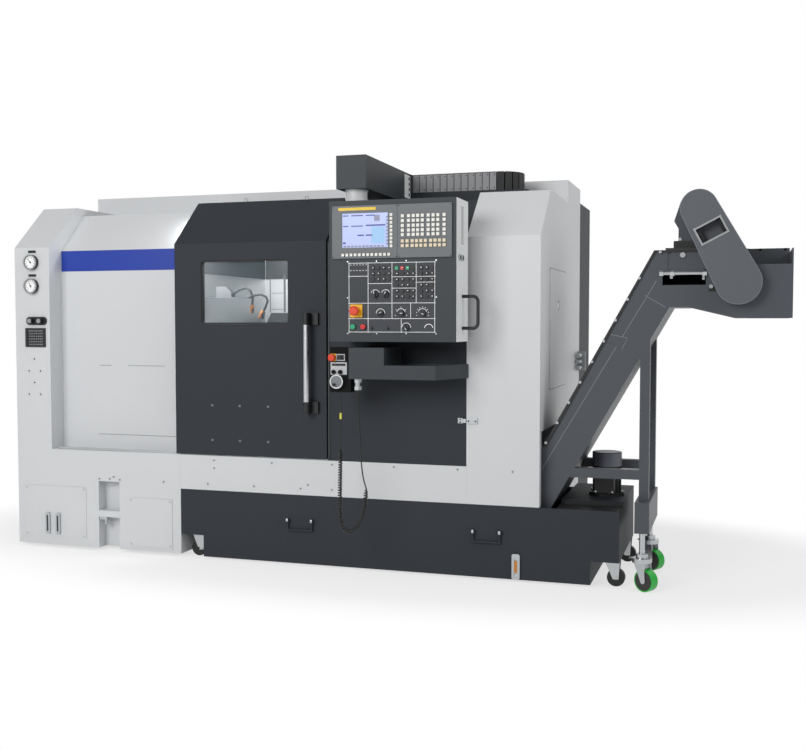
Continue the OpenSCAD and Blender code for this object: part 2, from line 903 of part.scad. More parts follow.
module coolant_hose(route) {
    tip = route[len(route) - 1];
    sweep(route, hose_y, hose_r, cord_sides);
    translate([tip[0], hose_y, tip[1] - nozzle_len])
        cylinder(h = nozzle_len, r1 = nozzle_tip_r, r2 = nozzle_r);
}
module coolant_hoses() color(black) in_frame() {
    block([lining_x + lining_t, hose_y - hose_arm_w / 2, hose_arm_z],
        [hose_arm_end_x, hose_y + hose_arm_w / 2, hose_arm_z + hose_arm_t]);
    along_y(hose_y - hose_arm_w / 2, hose_y + hose_arm_w / 2) polygon([
        [hose_block_x, hose_arm_z + overrun], [hose_block_x + hose_block_w, hose_arm_z + overrun],
        [hose_block_x + hose_block_w, hose_arm_z + hose_block_h - hose_block_cut],
        [hose_block_x + hose_block_w - hose_block_cut, hose_arm_z + hose_block_h],
        [hose_block_x, hose_arm_z + hose_block_h]]);
    coolant_hose(hose_a);
    coolant_hose(hose_b);
}

// White covers
module left_cabinet() color(white_paint) in_frame() difference() {
    outer = [[0, sill_z], [front_depth, sill_z], [front_depth, roof_z], [slope_y, roof_z], [0, edge_z]];
    along_x(0, cab_w) polygon(outer);
    along_x(sheet_t, cab_w - sheet_t) polygon(inset(outer, sheet_t));
}
module lower_left_cover() color(white_paint) in_frame() difference() {
    union() {
        difference() {
            block([0, 0, skirt_z], [lower_len, front_depth, sill_z]);
            block([sheet_t, sheet_t, skirt_z - overrun],
                [lower_len - sheet_t, front_depth + overrun, sill_z - sheet_t]);
            block([sheet_t, lower_fold, skirt_z - overrun],
                [lower_len - sheet_t, front_depth + overrun, sill_z + overrun]);
            block([lower_len - sheet_t - overrun, lower_return_y, skirt_z - overrun],
                [lower_len + overrun, front_depth + overrun, sill_z + overrun]);
        }
        block([pocket_x - sheet_t, sheet_t - overrun, skirt_z],
            [pocket_x + pocket_w + sheet_t, pocket_d + sheet_t, pocket_top_z + sheet_t]);
    }
    block([pocket_x, -overrun, pocket_mid_z], [pocket_x + pocket_w, pocket_d, pocket_top_z]);
    block([pocket_x, -overrun, skirt_z - overrun], [pocket_x + pocket_w, pocket_d, pocket_low_z]);
    for (q = lower_access) block([q[0], -overrun, q[1]], [q[2], sheet_t + overrun, q[3]]);
}
module headstock_cover() color(white_paint) in_frame() along_x(cab_w, door_x - cab_gap)
    polygon(cover_section(hood_y, sill_z, hood_edge_z, hood_top_y, roof_low_z, front_depth, sheet_t));
module access_panels() color(white_paint) in_frame() {
    for (q = lower_access)
        block([q[0] + slip_gap, -access_t, q[1] + slip_gap], [q[2] - slip_gap, sheet_t, q[3] - slip_gap]);
    difference() {
        along_x(body_len - sheet_t, body_len + access_t) soft_rect([hatch_y + slip_gap, hatch_z + slip_gap],
            [hatch_y + hatch_w - slip_gap, hatch_z + hatch_h - slip_gap], hatch_r);
        rod_x(body_len, body_len + access_t + overrun, hatch_y + hatch_w / 2,
            hatch_z + hatch_h * latch_up_share, latch_r);
    }
}
module front_sill() color(white_paint) in_frame() {
    block([lower_len + slip_gap, 0, tank_z + slip_gap], [right_x - slip_gap, sheet_t, sill_z]);
    block([lower_len + slip_gap, sheet_t - overrun, sill_z - sheet_t],
        [right_x - slip_gap, sill_fold, sill_z]);
    block([lower_len + slip_gap, sill_fold - sheet_t, base_z - sill_fold],
        [right_x - slip_gap, sill_fold, sill_z]);
}
module right_front_cover() color(white_paint) in_frame() along_x(right_x, body_len - sheet_t)
    polygon(cover_section(0, tank_z + slip_gap, edge_z, slope_y, roof_z, front_depth, sheet_t));
module right_side_panel() color(white_paint) in_frame() along_x(body_len - sheet_t, body_len) difference() {
    polygon([[0, tank_z + slip_gap], [sill_fold, tank_z + slip_gap], [sill_fold, side_z],
        [front_depth, side_z], [front_depth, roof_z], [slope_y, roof_z], [0, edge_z]]);
    soft_rect([hatch_y, hatch_z], [hatch_y + hatch_w, hatch_z + hatch_h], hatch_r);
}
module roof_panel() color(charcoal) in_frame() {
    block([door_x, hood_top_y, roof_low_z - sheet_t], [right_x, front_depth, roof_low_z]);
    block([bench_x, bench_y, bench_z - bench_t], [bench_end_x, bench_y + bench_d, bench_z]);
    for (y = [bench_y, bench_y + bench_d - bench_t]) {
        block([bench_x, y, roof_low_z - overrun], [right_x, y + bench_t, bench_z]);
        block([right_x - overrun, y, roof_z], [bench_end_x, y + bench_t, bench_z]);
    }
}
module rear_cover() color(white_paint) in_frame() difference() {
    block([0, front_depth, skirt_z], [body_len, body_depth, rear_z]);
    block([sheet_t, front_depth + sheet_t, skirt_z - overrun],
        [body_len - sheet_t, body_depth - sheet_t, rear_z - sheet_t]);
    block([sheet_t, front_depth - overrun, skirt_z - overrun],
        [body_len - sheet_t, front_depth + sheet_t + overrun, roof_low_z - sheet_t]);
}
module electrical_cabinet() color(charcoal) in_frame() difference() {
    pitch = (body_len - ecab_x) / ecab_doors;
    block([ecab_x, body_depth, ecab_foot], [body_len, rear_reach, ecab_z]);
    block([ecab_x + sheet_t, body_depth + sheet_t, ecab_foot + sheet_t],
        [body_len - sheet_t, rear_reach - sheet_t, ecab_z - sheet_t]);
    for (i = [1 : ecab_doors - 1])
        block([ecab_x + i * pitch - seam_w / 2, rear_reach - seam_d, ecab_foot - overrun],
            [ecab_x + i * pitch + seam_w / 2, rear_reach + overrun, ecab_z + overrun]);
    for (i = [0 : ecab_doors - 1], k = [0 : louvres - 1])
        translate([ecab_x + (i + 1 / 2) * pitch, rear_reach, ecab_foot + (k + 2) * louvre_pitch])
            block([-louvre_w / 2, -seam_d, 0], [louvre_w / 2, overrun, louvre_h]);
}

// Door, its guides and the fixed front panel
door_lean = atan2(slope_y, roof_z - edge_z);
door_z = sill_z + door_gap;
window_x = door_x + window_in;
module door_panel() color(charcoal) in_frame() difference() {
    along_x(door_x, door_x + door_w) polygon([[0, door_z], [0, edge_z], [slope_y, roof_z],
        [slope_y + door_t * cos(door_lean), roof_z - door_t * sin(door_lean)],
        [door_t, edge_z - door_t * tan(door_lean / 2)], [door_t, door_z]]);
    along_y(-overrun, door_t + overrun) soft_rect([window_x, window_z],
        [window_x + window_w, window_z + window_h], window_r);
    block([door_x - overrun, rail_y - slip_gap, door_z - overrun],
        [door_x + door_w + overrun, rail_y + rail_w + slip_gap, sill_z + rail_h + slip_gap]);
}
module door_window() color("#a9b7c0") in_frame() along_y(pane_in, pane_in + pane_t)
    soft_rect([window_x + slip_gap, window_z + slip_gap],
        [window_x + window_w - slip_gap, window_z + window_h - slip_gap], window_r - slip_gap);
module handle_brackets() color(black) in_frame() for (z = [handle_z, handle_z + handle_len - bracket_h]) {
    x = door_x + handle_in;
    rod_z(z, z + bracket_h, x, -handle_y, handle_d / 2 + seam_d);
    block([x - handle_d / 2, -handle_y, z], [x + handle_d / 2, 0, z + bracket_h]);
    block([x - handle_d / 2, -bracket_arm / 2, z], [x + bracket_w, 0, z + bracket_h]);
}
module door_handle() color(steel) in_frame()
    rod_z(handle_z + bracket_h, handle_z + handle_len - bracket_h,
        door_x + handle_in, -handle_y, handle_d / 2);
module guide_rails() color(steel) in_frame() {
    block([cab_w + rail_in, rail_y, sill_z], [door_x + door_w, rail_y + rail_w, sill_z + rail_h]);
    block([arm_rail_x, arm_rail_y, roof_low_z],
        [arm_rail_end_x, arm_rail_y + arm_rail_w, arm_z - slip_gap]);
}
module front_panel() color(charcoal) in_frame() {
    top_y = slope_y * (roof_low_z - edge_z) / (roof_z - edge_z);
    along_x(panel_x, right_x)
        polygon(cover_section(0, sill_z, edge_z, top_y, roof_low_z, hood_top_y, sheet_t));
    along_x(panel_x - trim_w + seam_d, panel_x)
        polygon(cover_section(trim_in, sill_z, edge_z, top_y + trim_in, roof_low_z, hood_top_y, sheet_t));
}

// Control pendant
pendant_y = -pendant_gap - pendant_d;
unit_x = pendant_x + unit_in;
unit_z = pendant_z + pendant_h - unit_top_in - unit_h;
op_x = pendant_x + op_in;
op_z = pendant_z + op_up;
stop_x = op_x + op_w * stop_x_share;
stop_z = op_z + op_h * stop_z_share;
button_z = op_z + op_h * button_z_share;
arm_z = pendant_z + pendant_h + collar_h;
module push_holes(y1) {
    y0 = pendant_y - stop_plate_t - overrun;
    rod_y(y0, y1, stop_x, stop_z, stop_stem_r + run_gap);
    for (s = [start_x_share, halt_x_share])
        rod_y(y0, y1, op_x + op_w * s, button_z, button_r + run_gap);
}
module pendant_box() color(pendant_grey) in_frame() difference() {
    top = pendant_z + pendant_h;
    block([pendant_x, pendant_y, pendant_z], [pendant_x + pendant_w, -pendant_gap, top]);
    block([unit_x, pendant_y - overrun, unit_z], [unit_x + unit_w, pendant_y + unit_seat, unit_z + unit_h]);
    block([op_x, pendant_y - overrun, op_z], [op_x + op_w, pendant_y + op_t, op_z + op_h]);
    rod_z(top - spigot_len - overrun, top + overrun, collar_x, collar_y, spigot_r + run_gap);
    push_holes(pendant_y + op_t + stop_stem_len);
    block([pendant_x + sheet_t, pendant_y + op_t + stop_stem_len + sheet_t, pendant_z + sheet_t],
        [pendant_x + pendant_w - sheet_t, -pendant_gap - sheet_t, top - spigot_len - sheet_t]);
}
module screen_unit() color("#6f7376") in_frame() {
    y0 = pendant_y + unit_seat - unit_t;
    x0 = unit_x + slip_gap;
    x1 = unit_x + unit_w - slip_gap;
    sx = unit_x + unit_w * screen_x_share;
    sz = unit_z + unit_h * screen_z_share;
    sw = unit_w * screen_w_share;
    sh = unit_h * screen_h_share;
    difference() {
        block([x0, y0, unit_z + slip_gap], [x1, pendant_y + unit_seat, unit_z + unit_h - slip_gap]);
        block([sx, y0 - overrun, sz], [sx + sw, y0 + screen_d, sz + sh]);
        block([unit_x + unit_w * pad_x_share - seam_d, y0 - overrun, unit_z - overrun],
            [unit_x + unit_w * pad_x_share, y0 + seam_d, unit_z + unit_h + overrun]);
    }
    for (i = [0 : soft_keys - 1]) translate([sx + i * sw / (soft_keys - 1), y0 - key_t, unit_z + key_w])
        cube([key_w, key_t + overrun, key_w]);
    for (i = [0 : side_keys - 1]) translate([sx + sw + key_w, y0 - key_t, sz + i * sh / side_keys])
        cube([key_w, key_t + overrun, key_w]);
    pad_keys(y0, pad_col_shares, pad_row_shares);
    pad_keys(y0, low_col_shares, low_row_shares);
}
module pad_keys(y0, col_shares, row_shares) for (c = col_shares, r = row_shares)
    translate([unit_x + unit_w * c - pad_key_w / 2, y0 - key_t, unit_z + unit_h * r - pad_key_w / 2])
        cube([pad_key_w, key_t + overrun, pad_key_w]);
module key_field(x_share, z_share, cols, rows)
    for (i = [0 : cols - 1], k = [0 : rows - 1])
        translate([op_x + op_w * x_share + i * op_key_pitch, pendant_y - op_key_t,
            op_z + op_h * z_share + k * op_key_pitch]) cube([op_key_w, op_key_t + overrun, op_key_w]);
module operator_panel() color("#3a3d41") in_frame() difference() {
    union() {
        block([op_x + slip_gap, pendant_y, op_z + slip_gap],
            [op_x + op_w - slip_gap, pendant_y + op_t, op_z + op_h - slip_gap]);
        block([stop_x - stop_plate / 2, pendant_y - stop_plate_t, stop_z - stop_plate / 2],
            [stop_x + stop_plate / 2, pendant_y + overrun, stop_z + stop_plate / 2]);
        key_field(grid_x_shares[0] + key_in_share, key_low_shares[0], 4, 3);
        key_field(grid_x_shares[1] + key_in_share, key_low_shares[1], 4, 6);
        key_field(grid_x_shares[2] + key_in_share, key_low_shares[1], 3, 6);
        for (i = [0 : len(knob_x_shares) - 1])
            translate([op_x + op_w * knob_x_shares[i], pendant_y, op_z + op_h * knob_z_shares[i]]) {
                rod_y(-knob_t, overrun, 0, 0, knob_r);
                rotate([0, 30 * i, 0]) block([-knob_bar_w / 2, -knob_t - knob_bar_t, -knob_r],
                    [knob_bar_w / 2, overrun - knob_t, knob_r]);
            }
        for (s = toggle_x_shares)
            rod_y(pendant_y - toggle_t, pendant_y + overrun, op_x + op_w * s, op_z + op_h * toggle_z_share,
                toggle_r);
    }
    push_holes(pendant_y + op_t + overrun);
}
module pendant_handle() color(black) in_frame() {
    x0 = pendant_x + pendant_w;
    y = pendant_y + pendant_d * grip_y_share;
    reach = x0 + grip_out - grip_r - grip_bend;
    for (z = [grip_z, grip_z + grip_len]) rod_x(x0, reach, y, z, grip_r);
    rod_z(grip_z + grip_bend, grip_z + grip_len - grip_bend, reach + grip_bend, y, grip_r);
    for (s = [0, 1]) translate([reach, y, s == 0 ? grip_z + grip_bend : grip_z + grip_len - grip_bend])
        mirror([0, 0, s]) rotate([90, 0, 0]) rotate([0, 0, -90]) rotate_extrude(angle = 90)
            translate([grip_bend, 0]) circle(grip_r);
}
module estop_button() color("#e8481c") in_frame() translate([stop_x, pendant_y, stop_z]) rotate([90, 0, 0])
    rotate_extrude() polygon([[0, -stop_stem_len / 2], [stop_stem_r, -stop_stem_len / 2],
        [stop_stem_r, stop_h - stop_cap_t], [stop_r, stop_h - stop_cap_t],
        [stop_r, stop_h - stop_cap_t / 3], [stop_r * stop_crown_share, stop_h], [0, stop_h]]);
module push_button(x_share) translate([op_x + op_w * x_share, pendant_y, button_z]) rotate([90, 0, 0])
    translate([0, 0, -button_in]) cylinder(h = button_in + button_out, r = button_r);
module start_button() color("#17a06a") in_frame() push_button(start_x_share);
module stop_button() color("#d02020") in_frame() push_button(halt_x_share);

// Overhead arm and energy chain
arm_x = collar_x - arm_w / 2;
module pendant_arm() color(pendant_grey) in_frame() {
    block([arm_x, arm_front_y, arm_z], [arm_x + arm_w, arm_front_y + arm_len, arm_z + arm_h]);
    rod_z(pendant_z + pendant_h + slip_gap, arm_z + overrun, collar_x, collar_y, collar_r);
    rod_z(pendant_z + pendant_h - spigot_len, arm_z, collar_x, collar_y, spigot_r);
    block([arm_x + arm_w - overrun, arm_front_y + arm_len - chain_bracket_t, bench_z + link_gap],
        [chain_x - slip_gap, chain_y + chain_t / 2, bench_z + chain_w]);
}
module chain_link() linear_extrude(chain_w) difference() {
    half = (chain_pitch - link_gap) / 2;
    taper = half * link_taper_share;
    polygon([[-half, -chain_t / 2], [half, -chain_t / 2], [taper, chain_t / 2], [-taper, chain_t / 2]]);
    square([2 * taper - link_wall, chain_t - 2 * link_wall], center = true);
}
module energy_chain() color(black) in_frame() translate([chain_x + chain_pitch / 2, chain_y, bench_z]) {
    for (i = [0 : chain_run - 1]) translate([i * chain_pitch, 0, 0]) chain_link();
    translate([(chain_run - 1 / 2) * chain_pitch, chain_r, 0]) for (i = [0 : bend_links - 1])
        rotate([0, 0, (i + 1 / 2) * 180 / bend_links]) translate([0, -chain_r, 0]) chain_link();
    for (i = [0 : chain_run - 1]) translate([i * chain_pitch, 2 * chain_r, 0])
        rotate([0, 0, 180]) chain_link();
}

// Tool tray, cord and handset
module tray_plan(t) polygon([[tray_x + t, t - tray_d], [tray_x + tray_w - t, t - tray_d],
    [tray_x + tray_w + tray_flare - t, 0], [tray_x + t, 0]]);
module tool_tray() color(pendant_grey) in_frame() {
    difference() {
        translate([0, 0, tray_z]) linear_extrude(lip_h) tray_plan(0);
        translate([0, 0, tray_z + tray_t]) linear_extrude(lip_h) difference() {
            tray_plan(tray_t);
            translate([0, -tray_t]) square([tray_x + tray_w + tray_flare, tray_t]);
        }
    }
    block([tray_x, -tray_d, tray_z], [tray_x + box_len, 0, tray_z + tray_h]);
    block([tray_x - handset_w / 2, handset_y + handset_t, handset_z + handset_h - hanger_h],
        [tray_x + overrun, handset_y + handset_t + hanger_t, handset_z + handset_h]);
}
module cord_gland() color(steel) in_frame() {
    low = tray_z - gland_len;
    rod_z(low, tray_z, gland_x, cord_y, gland_r);
    for (z = [tray_z - gland_nut_len, low]) translate([gland_x, cord_y, z])
        cylinder(h = gland_nut_len, r = gland_nut_r, $fn = 6);
}
module handset_cord() color(black) in_frame() {
    sweep(cord_in, cord_y, cord_d / 2, cord_sides);
    sweep(cord_out, cord_y, cord_d / 2, cord_sides);
}
module handset_curl() color(black) in_frame() sweep(curl_route, cord_y, curl_d / 2, curl_sides);
module handset_body() color(black) in_frame() difference() {
    union() {
        block([handset_x, handset_y, handset_z],
            [handset_x + handset_w, handset_y + handset_t, handset_z + handset_h]);
        rod_y(handset_y - mush_t, handset_y + overrun, handset_x + handset_w * mush_x_share + mush_r / 2,
            handset_z + handset_h * mush_z_share, mush_r);
        for (s = small_knob_x_shares) rod_y(handset_y - small_knob_t, handset_y + overrun,
            handset_x + handset_w * s, handset_z + handset_h * small_knob_z_share, small_knob_r);
    }
    rod_y(handset_y - overrun, handset_y + dial_pin_len + overrun, dial_x, dial_z, dial_pin_r + run_gap);
}
module handset_wheel() color(steel) in_frame() translate([dial_x, handset_y, dial_z]) rotate([90, 0, 0])
    rotate_extrude() polygon([[0, -dial_pin_len], [dial_pin_r, -dial_pin_len], [dial_pin_r, slip_gap],
        [dial_r, slip_gap], [dial_r, dial_t], [dial_r - dial_rim, dial_t],
        [dial_r - dial_rim, dial_t - dial_rim], [0, dial_t - dial_rim]]);

// Left cabinet's instruments and sight glasses
module cabinet_gauges() color(black) in_frame() {
    for (z = gauge_zs) difference() {
        rod_y(-gauge_t, 0, gauge_x, z, gauge_r);
        rod_y(-gauge_t - overrun, gauge_rim - gauge_t, gauge_x, z, gauge_r - gauge_rim);
    }
    along_y(-plate_thick, 0) soft_rect([plate_x, plate_z], [plate_x + plate_w, plate_z + plate_h],
        plate_h / 2 - seam_d);
    for (s = reg_x_shares)
        rod_y(-plate_thick - reg_t, -plate_thick + overrun, plate_x + plate_w * s, plate_z + plate_h / 2,
            reg_r);
    pitch = vent_h / (vent_bars + 1);
    along_y(-plate_thick, 0) difference() {
        translate([vent_x, vent_z]) square([vent_w, vent_h]);
        for (i = [0 : vent_bars - 1]) translate([vent_x + pitch, vent_z + (i + 3 / 4) * pitch])
            square([vent_w - 2 * pitch, pitch * bar_share]);
    }
}
module sight_glass(x, z, w, h, y) difference() {
    along_y(y - sight_t, y) soft_rect([x - w / 2, z], [x + w / 2, z + h], w / 4);
    along_y(y - sight_t - overrun, y - sight_t / 2) soft_rect([x - w * sight_slot_share / 2, z + w / 2],
        [x + w * sight_slot_share / 2, z + h - w / 2], w * sight_slot_share / 4);
}
module sight_gauges() color(steel) in_frame() {
    for (x = sight_xs) sight_glass(x, sight_z, sight_w, sight_h, -access_t);
    sight_glass(tank_sight_x, tank_sight_z, tank_sight_w, tank_sight_h, 0);
}

// Coolant tank, casters, pump and pipes
module coolant_tank() color(charcoal) in_frame() {
    x0 = lower_len + slip_gap;
    outer = [[x0, notch_z], [x0 + notch_len, notch_z], [x0 + notch_len, tank_foot],
        [tank_end_x - notch_len, tank_foot], [tank_end_x - notch_len, notch_z], [tank_end_x, notch_z],
        [tank_end_x, tank_z], [x0, tank_z]];
    difference() {
        along_y(0, tank_d) polygon(outer);
        along_y(tank_t, tank_d - tank_t) difference() {
            polygon(inset(outer, tank_t));
            translate([plinth_x, tank_z - tank_t]) square([tank_end_x - plinth_x, tank_t]);
        }
        block([x0 + tank_t, tank_t, tank_z - tank_t - overrun],
            [plinth_x, tank_d - tank_t, tank_z + overrun]);
    }
    block([plinth_x, plinth_y, tank_z - overrun], [tank_end_x, tank_d, tank_z + plinth_h]);
    for (x = drop_handle_xs) {
        for (s = [-1, 1]) {
            translate([x + s * drop_handle_w / 2, 0, drop_handle_z + drop_handle_h])
                block([-drop_lug / 2, -drop_lug, -drop_lug], [drop_lug / 2, overrun, 0]);
            rod_z(drop_handle_z, drop_handle_z + drop_handle_h - drop_lug / 2, x + s * drop_handle_w / 2,
                -drop_lug / 2, drop_handle_r);
        }
        rod_x(x - drop_handle_w / 2 - drop_handle_r, x + drop_handle_w / 2 + drop_handle_r, -drop_lug / 2,
            drop_handle_z, drop_handle_r);
    }
}
module tank_casters() color(black) in_frame()
    for (e = [[lower_len + caster_in, 0], [tank_end_x - caster_end_in, tank_trail]],
        y = [caster_side, tank_d - caster_side]) {
        x = e[0];
        hub_x = x + e[1];
        translate([x, y, notch_z])
            block([-fork_plate / 2, -fork_plate / 2, -fork_t], [fork_plate / 2, fork_plate / 2, 0]);
        for (s = [-1, 1]) translate([0, y + s * (caster_w / 2 + fork_t), 0])
            along_y(-fork_t / 2, fork_t / 2) polygon([[x - fork_plate / 2, notch_z - fork_t / 2],
                [x + fork_plate / 2, notch_z - fork_t / 2], [hub_x + axle_r * 2, tank_wheel_r - axle_r],
                [hub_x - axle_r * 2, tank_wheel_r - axle_r]]);
        rod_y(y - caster_w / 2 - fork_t * 2, y + caster_w / 2 + fork_t * 2, hub_x, tank_wheel_r, axle_r);
        rod_y(y - caster_w / 2, y + caster_w / 2, hub_x, tank_wheel_r, tank_wheel_r);
    }
module coolant_pump() color(black) in_frame() {
    z0 = tank_z + plinth_h;
    rod_z(z0, z0 + pump_flange_t, pump_x, pump_y, pump_flange_r);
    rod_z(z0, z0 + pump_h, pump_x, pump_y, pump_r);
    rod_z(z0 + pump_h - pump_cowl_h, z0 + pump_h, pump_x, pump_y, pump_cowl_r);
    for (i = [0 : fin_count - 1]) translate([pump_x, pump_y, 0]) rotate([0, 0, 360 * i / fin_count])
        block([pump_r - overrun, -fin_t / 2, z0 + pump_flange_t - overrun],
            [pump_r + fin_h, fin_t / 2, z0 + pump_h - pump_cowl_h + overrun]);
    block([pump_x - pump_box_w / 2, pump_y - pump_r - pump_box_d, z0 + pump_box_z],
        [pump_x + pump_box_w / 2, pump_y - pump_r / 2, z0 + pump_box_z + pump_box_h]);
}
module pipe_bracket() color(steel) in_frame() {
    for (z = pipe_zs) rod_y(pipe_y, pipe_y + pipe_len, body_len + pipe_out, z, pipe_r);
    block([body_len, pipe_plate_y, pipe_plate_z],
        [body_len + pipe_plate_w, pipe_plate_y + pipe_plate_t, pipe_plate_z + pipe_plate_h]);
}

// Chip conveyor
conv_outline = [[conv_low_x, conv_low_z], [conv_bend_x, conv_low_z], [throat_x, throat_z],
    [chin_x, throat_z], [mouth_x, mouth_z], [conv_end_x, mouth_z], [conv_end_x, head_z], [head_x0, head_z],
    [conv_top_bend_x, conv_low_z + conv_low_h], [conv_low_x, conv_low_z + conv_low_h]];
hopper_x = conv_end_x - hopper_len;
module conveyor_casing() color(conveyor_grey) in_frame() {
    y1 = conv_y + conv_w;
    difference() {
        union() {
            along_y(conv_y, y1) polygon(conv_outline);
            along_y(conv_y - lid_out, y1 + lid_out) polygon([[head_x0, head_z],
                [conv_top_bend_x, conv_low_z + conv_low_h],
                [conv_top_bend_x + lid_t, conv_low_z + conv_low_h],
                [head_x0 + lid_t, head_z - lid_t], [chin_x, head_z - lid_t], [chin_x, head_z]]);
        }
        along_y(conv_y + conv_t, y1 - conv_t) polygon(inset(conv_outline, conv_t));
        block([hopper_x, conv_y + conv_t, mouth_z - overrun],
            [conv_end_x - conv_t, y1 - conv_t, head_z + overrun]);
        block([hopper_x, conv_y - overrun, head_z - lip_drop],
            [conv_end_x - conv_t, conv_y + conv_t + overrun, head_z + overrun]);
        block([slot_x, conv_y - overrun, slot_z],
            [slot_x + slot_len, conv_y + conv_t + overrun, slot_z + slot_h]);
    }
    block([hopper_x - conv_t, conv_y, mouth_z], [hopper_x, y1, head_z]);
    block([hopper_x - conv_t, y1 - conv_t, head_z - overrun], [conv_end_x, y1, head_z + back_rise]);
    rod_x(slot_x - screw_lap, slot_x + slot_len + screw_lap, conv_y, slot_z + slot_h + screw_up, screw_r);
}
guard_foot = [guard_foot_x, guard_foot_z];
drive_gap = roller_pitch * span_count / 2;
guard_head = guard_foot + drive_gap * [-sin(guard_deg), cos(guard_deg)];
module guard_window() {
    mid = guard_foot + drive_gap * guard_window_up_share * [-sin(guard_deg), cos(guard_deg)];
    translate(mid) rotate(guard_deg) square([guard_window_w, guard_window_h], center = true);
}
module chain_guard() color(conveyor_grey) in_frame() difference() {
    along_y(guard_y, conv_y) belt_outline(guard_foot, guard_foot_r, guard_head, guard_head_r);
    along_y(guard_y + guard_t, conv_y - guard_t)
        belt_outline(guard_foot, guard_foot_r - guard_t, guard_head, guard_head_r - guard_t);
    along_y(guard_y - overrun, guard_y + guard_t + overrun) guard_window();
    for (q = [guard_foot, guard_head])
        rod_y(conv_y - guard_t - overrun, conv_y + overrun, q[0], q[1], guard_hole_r);
}

// Roller chain: two straight runs and two half turns, measured along the rollers' pitch line
sprocket_r = teeth * roller_pitch / (2 * PI);
lap = teeth / 2;
span = span_count / 2;
links = span_count + teeth;
function roller(i) = let (
        k = i % links,
        a = 180 * (k < span + lap ? k - span : k - 2 * span - lap) / lap
    )
    k < span ? [sprocket_r, k * roller_pitch]
    : k < span + lap ? [sprocket_r * cos(a), drive_gap + sprocket_r * sin(a)]
    : k < 2 * span + lap ? [-sprocket_r, drive_gap - (k - span - lap) * roller_pitch]
    : [-sprocket_r * cos(a), -sprocket_r * sin(a)];
module link_outline(i) belt_outline(roller(i), plate_half, roller(i + 1), plate_half);
module drive_plane(y0, y1) along_y(y0, y1) translate(guard_foot) rotate(guard_deg) children();
module drive_chain() color(iron) in_frame() {
    inner = roller_len / 2;
    outer = inner + link_t + slip_gap;
    for (i = [0 : 2 : links - 2]) {
        drive_plane(chain_mid_y - inner, chain_mid_y + inner)
            for (k = [i, i + 1]) translate(roller(k)) circle(roller_r);
        for (s = [-1, 1]) {
            drive_plane(chain_mid_y + s * (inner + link_t / 2) - link_t / 2 - (s > 0 ? seam_lap : 0),
                chain_mid_y + s * (inner + link_t / 2) + link_t / 2 + (s < 0 ? seam_lap : 0))
                link_outline(i);
            drive_plane(chain_mid_y + s * (outer + link_t / 2) - link_t / 2,
                chain_mid_y + s * (outer + link_t / 2) + link_t / 2) link_outline(i + 1);
            rivet_y = chain_mid_y + s * (outer + link_t + rivet_t / 2);
            drive_plane(rivet_y - rivet_t / 2 - (s > 0 ? seam_lap : 0),
                rivet_y + rivet_t / 2 + (s < 0 ? seam_lap : 0))
                for (k = [i + 1, i + 2]) translate(roller(k)) circle(rivet_r);
        }
    }
}
module sprocket_outline() {
    root = sprocket_r - roller_r - root_room;
    half = (roller_pitch / 2 - roller_r - tooth_room);
    circle(root);
    for (i = [0 : teeth - 1]) rotate(360 * (i + 1 / 2) / teeth)
        polygon([[root - tooth_tip, -half * tooth_foot_share], [sprocket_r, -half],
            [sprocket_r + tooth_tip, -half / 2], [sprocket_r + tooth_tip, half / 2], [sprocket_r, half],
            [root - tooth_tip, half * tooth_foot_share]]);
}
module drive_sprockets() color(steel) in_frame() {
    y0 = chain_mid_y - sprocket_t / 2;
    y1 = chain_mid_y + sprocket_t / 2;
    drive_plane(y0, y1) sprocket_outline();
    drive_plane(y0, y1) translate([0, drive_gap]) sprocket_outline();
    drive_plane(y0 - shaft_out, conv_y) circle(head_shaft_r);
    drive_plane(y0 - shaft_out, gear_y) translate([0, drive_gap]) circle(head_shaft_r);
}
module conveyor_motor() color(conveyor_grey) in_frame() {
    z0 = head_z + gear_base_h;
    axis_x = guard_head[0];
    axis_z = guard_head[1];
    block([gear_x, gear_y, head_z], [gear_x + gear_w, gear_y + gear_d, z0]);
    along_y(gear_y, gear_y + gear_d) polygon([[gear_x + gear_foot_in, z0 - overrun],
        [gear_x + gear_w - gear_foot_in, z0 - overrun],
        [gear_x + gear_w - gear_foot_in, z0 + gear_waist_h], [gear_x + gear_w, z0 + gear_shoulder_h],
        [gear_x + gear_w - gear_top_in, z0 + gear_h], [gear_x + gear_top_in, z0 + gear_h],
        [gear_x, z0 + gear_shoulder_h], [gear_x + gear_foot_in, z0 + gear_waist_h]]);
    rod_y(gear_y + gear_d - overrun, gear_y + gear_d + motor_len, axis_x, axis_z, motor_r);
    rod_y(gear_y + gear_d + motor_len - motor_cowl_len, gear_y + gear_d + motor_len, axis_x, axis_z,
        motor_cowl_r);
}

// Conveyor's support on two swivel casters
casing_rise_share = (throat_z - conv_low_z) / (throat_x - conv_bend_x);
function casing_low_z(x) = conv_low_z + (x - conv_bend_x) * casing_rise_share;
function casing_low_x(z) = conv_bend_x + (z - conv_low_z) / casing_rise_share;
module conveyor_support() color(conveyor_grey) in_frame() {
    beam_top = foot_beam_z + foot_beam_h;
    x1 = post_x + post_w;
    for (y = [conv_y, conv_y + conv_w - post_w]) {
        along_y(y, y + post_w) polygon([[post_x, beam_top - overrun], [x1, beam_top - overrun],
            [x1, casing_low_z(x1)], [post_x, casing_low_z(post_x)]]);
        along_y(y, y + post_w) polygon([[casing_low_x(brace_z), brace_z], [post_x + overrun, brace_z],
            [post_x + overrun, brace_z + post_w], [casing_low_x(brace_z + post_w), brace_z + post_w]]);
    }
    difference() {
        block([post_x - foot_side, -foot_side, foot_beam_z - socket_h],
            [x1 + foot_side, caster_ys[1] + post_w / 2 + foot_side, beam_top]);
        for (y = caster_ys)
            rod_z(foot_beam_z - socket_h - overrun, foot_beam_z, caster_x, y, stem_r + run_gap);
    }
}
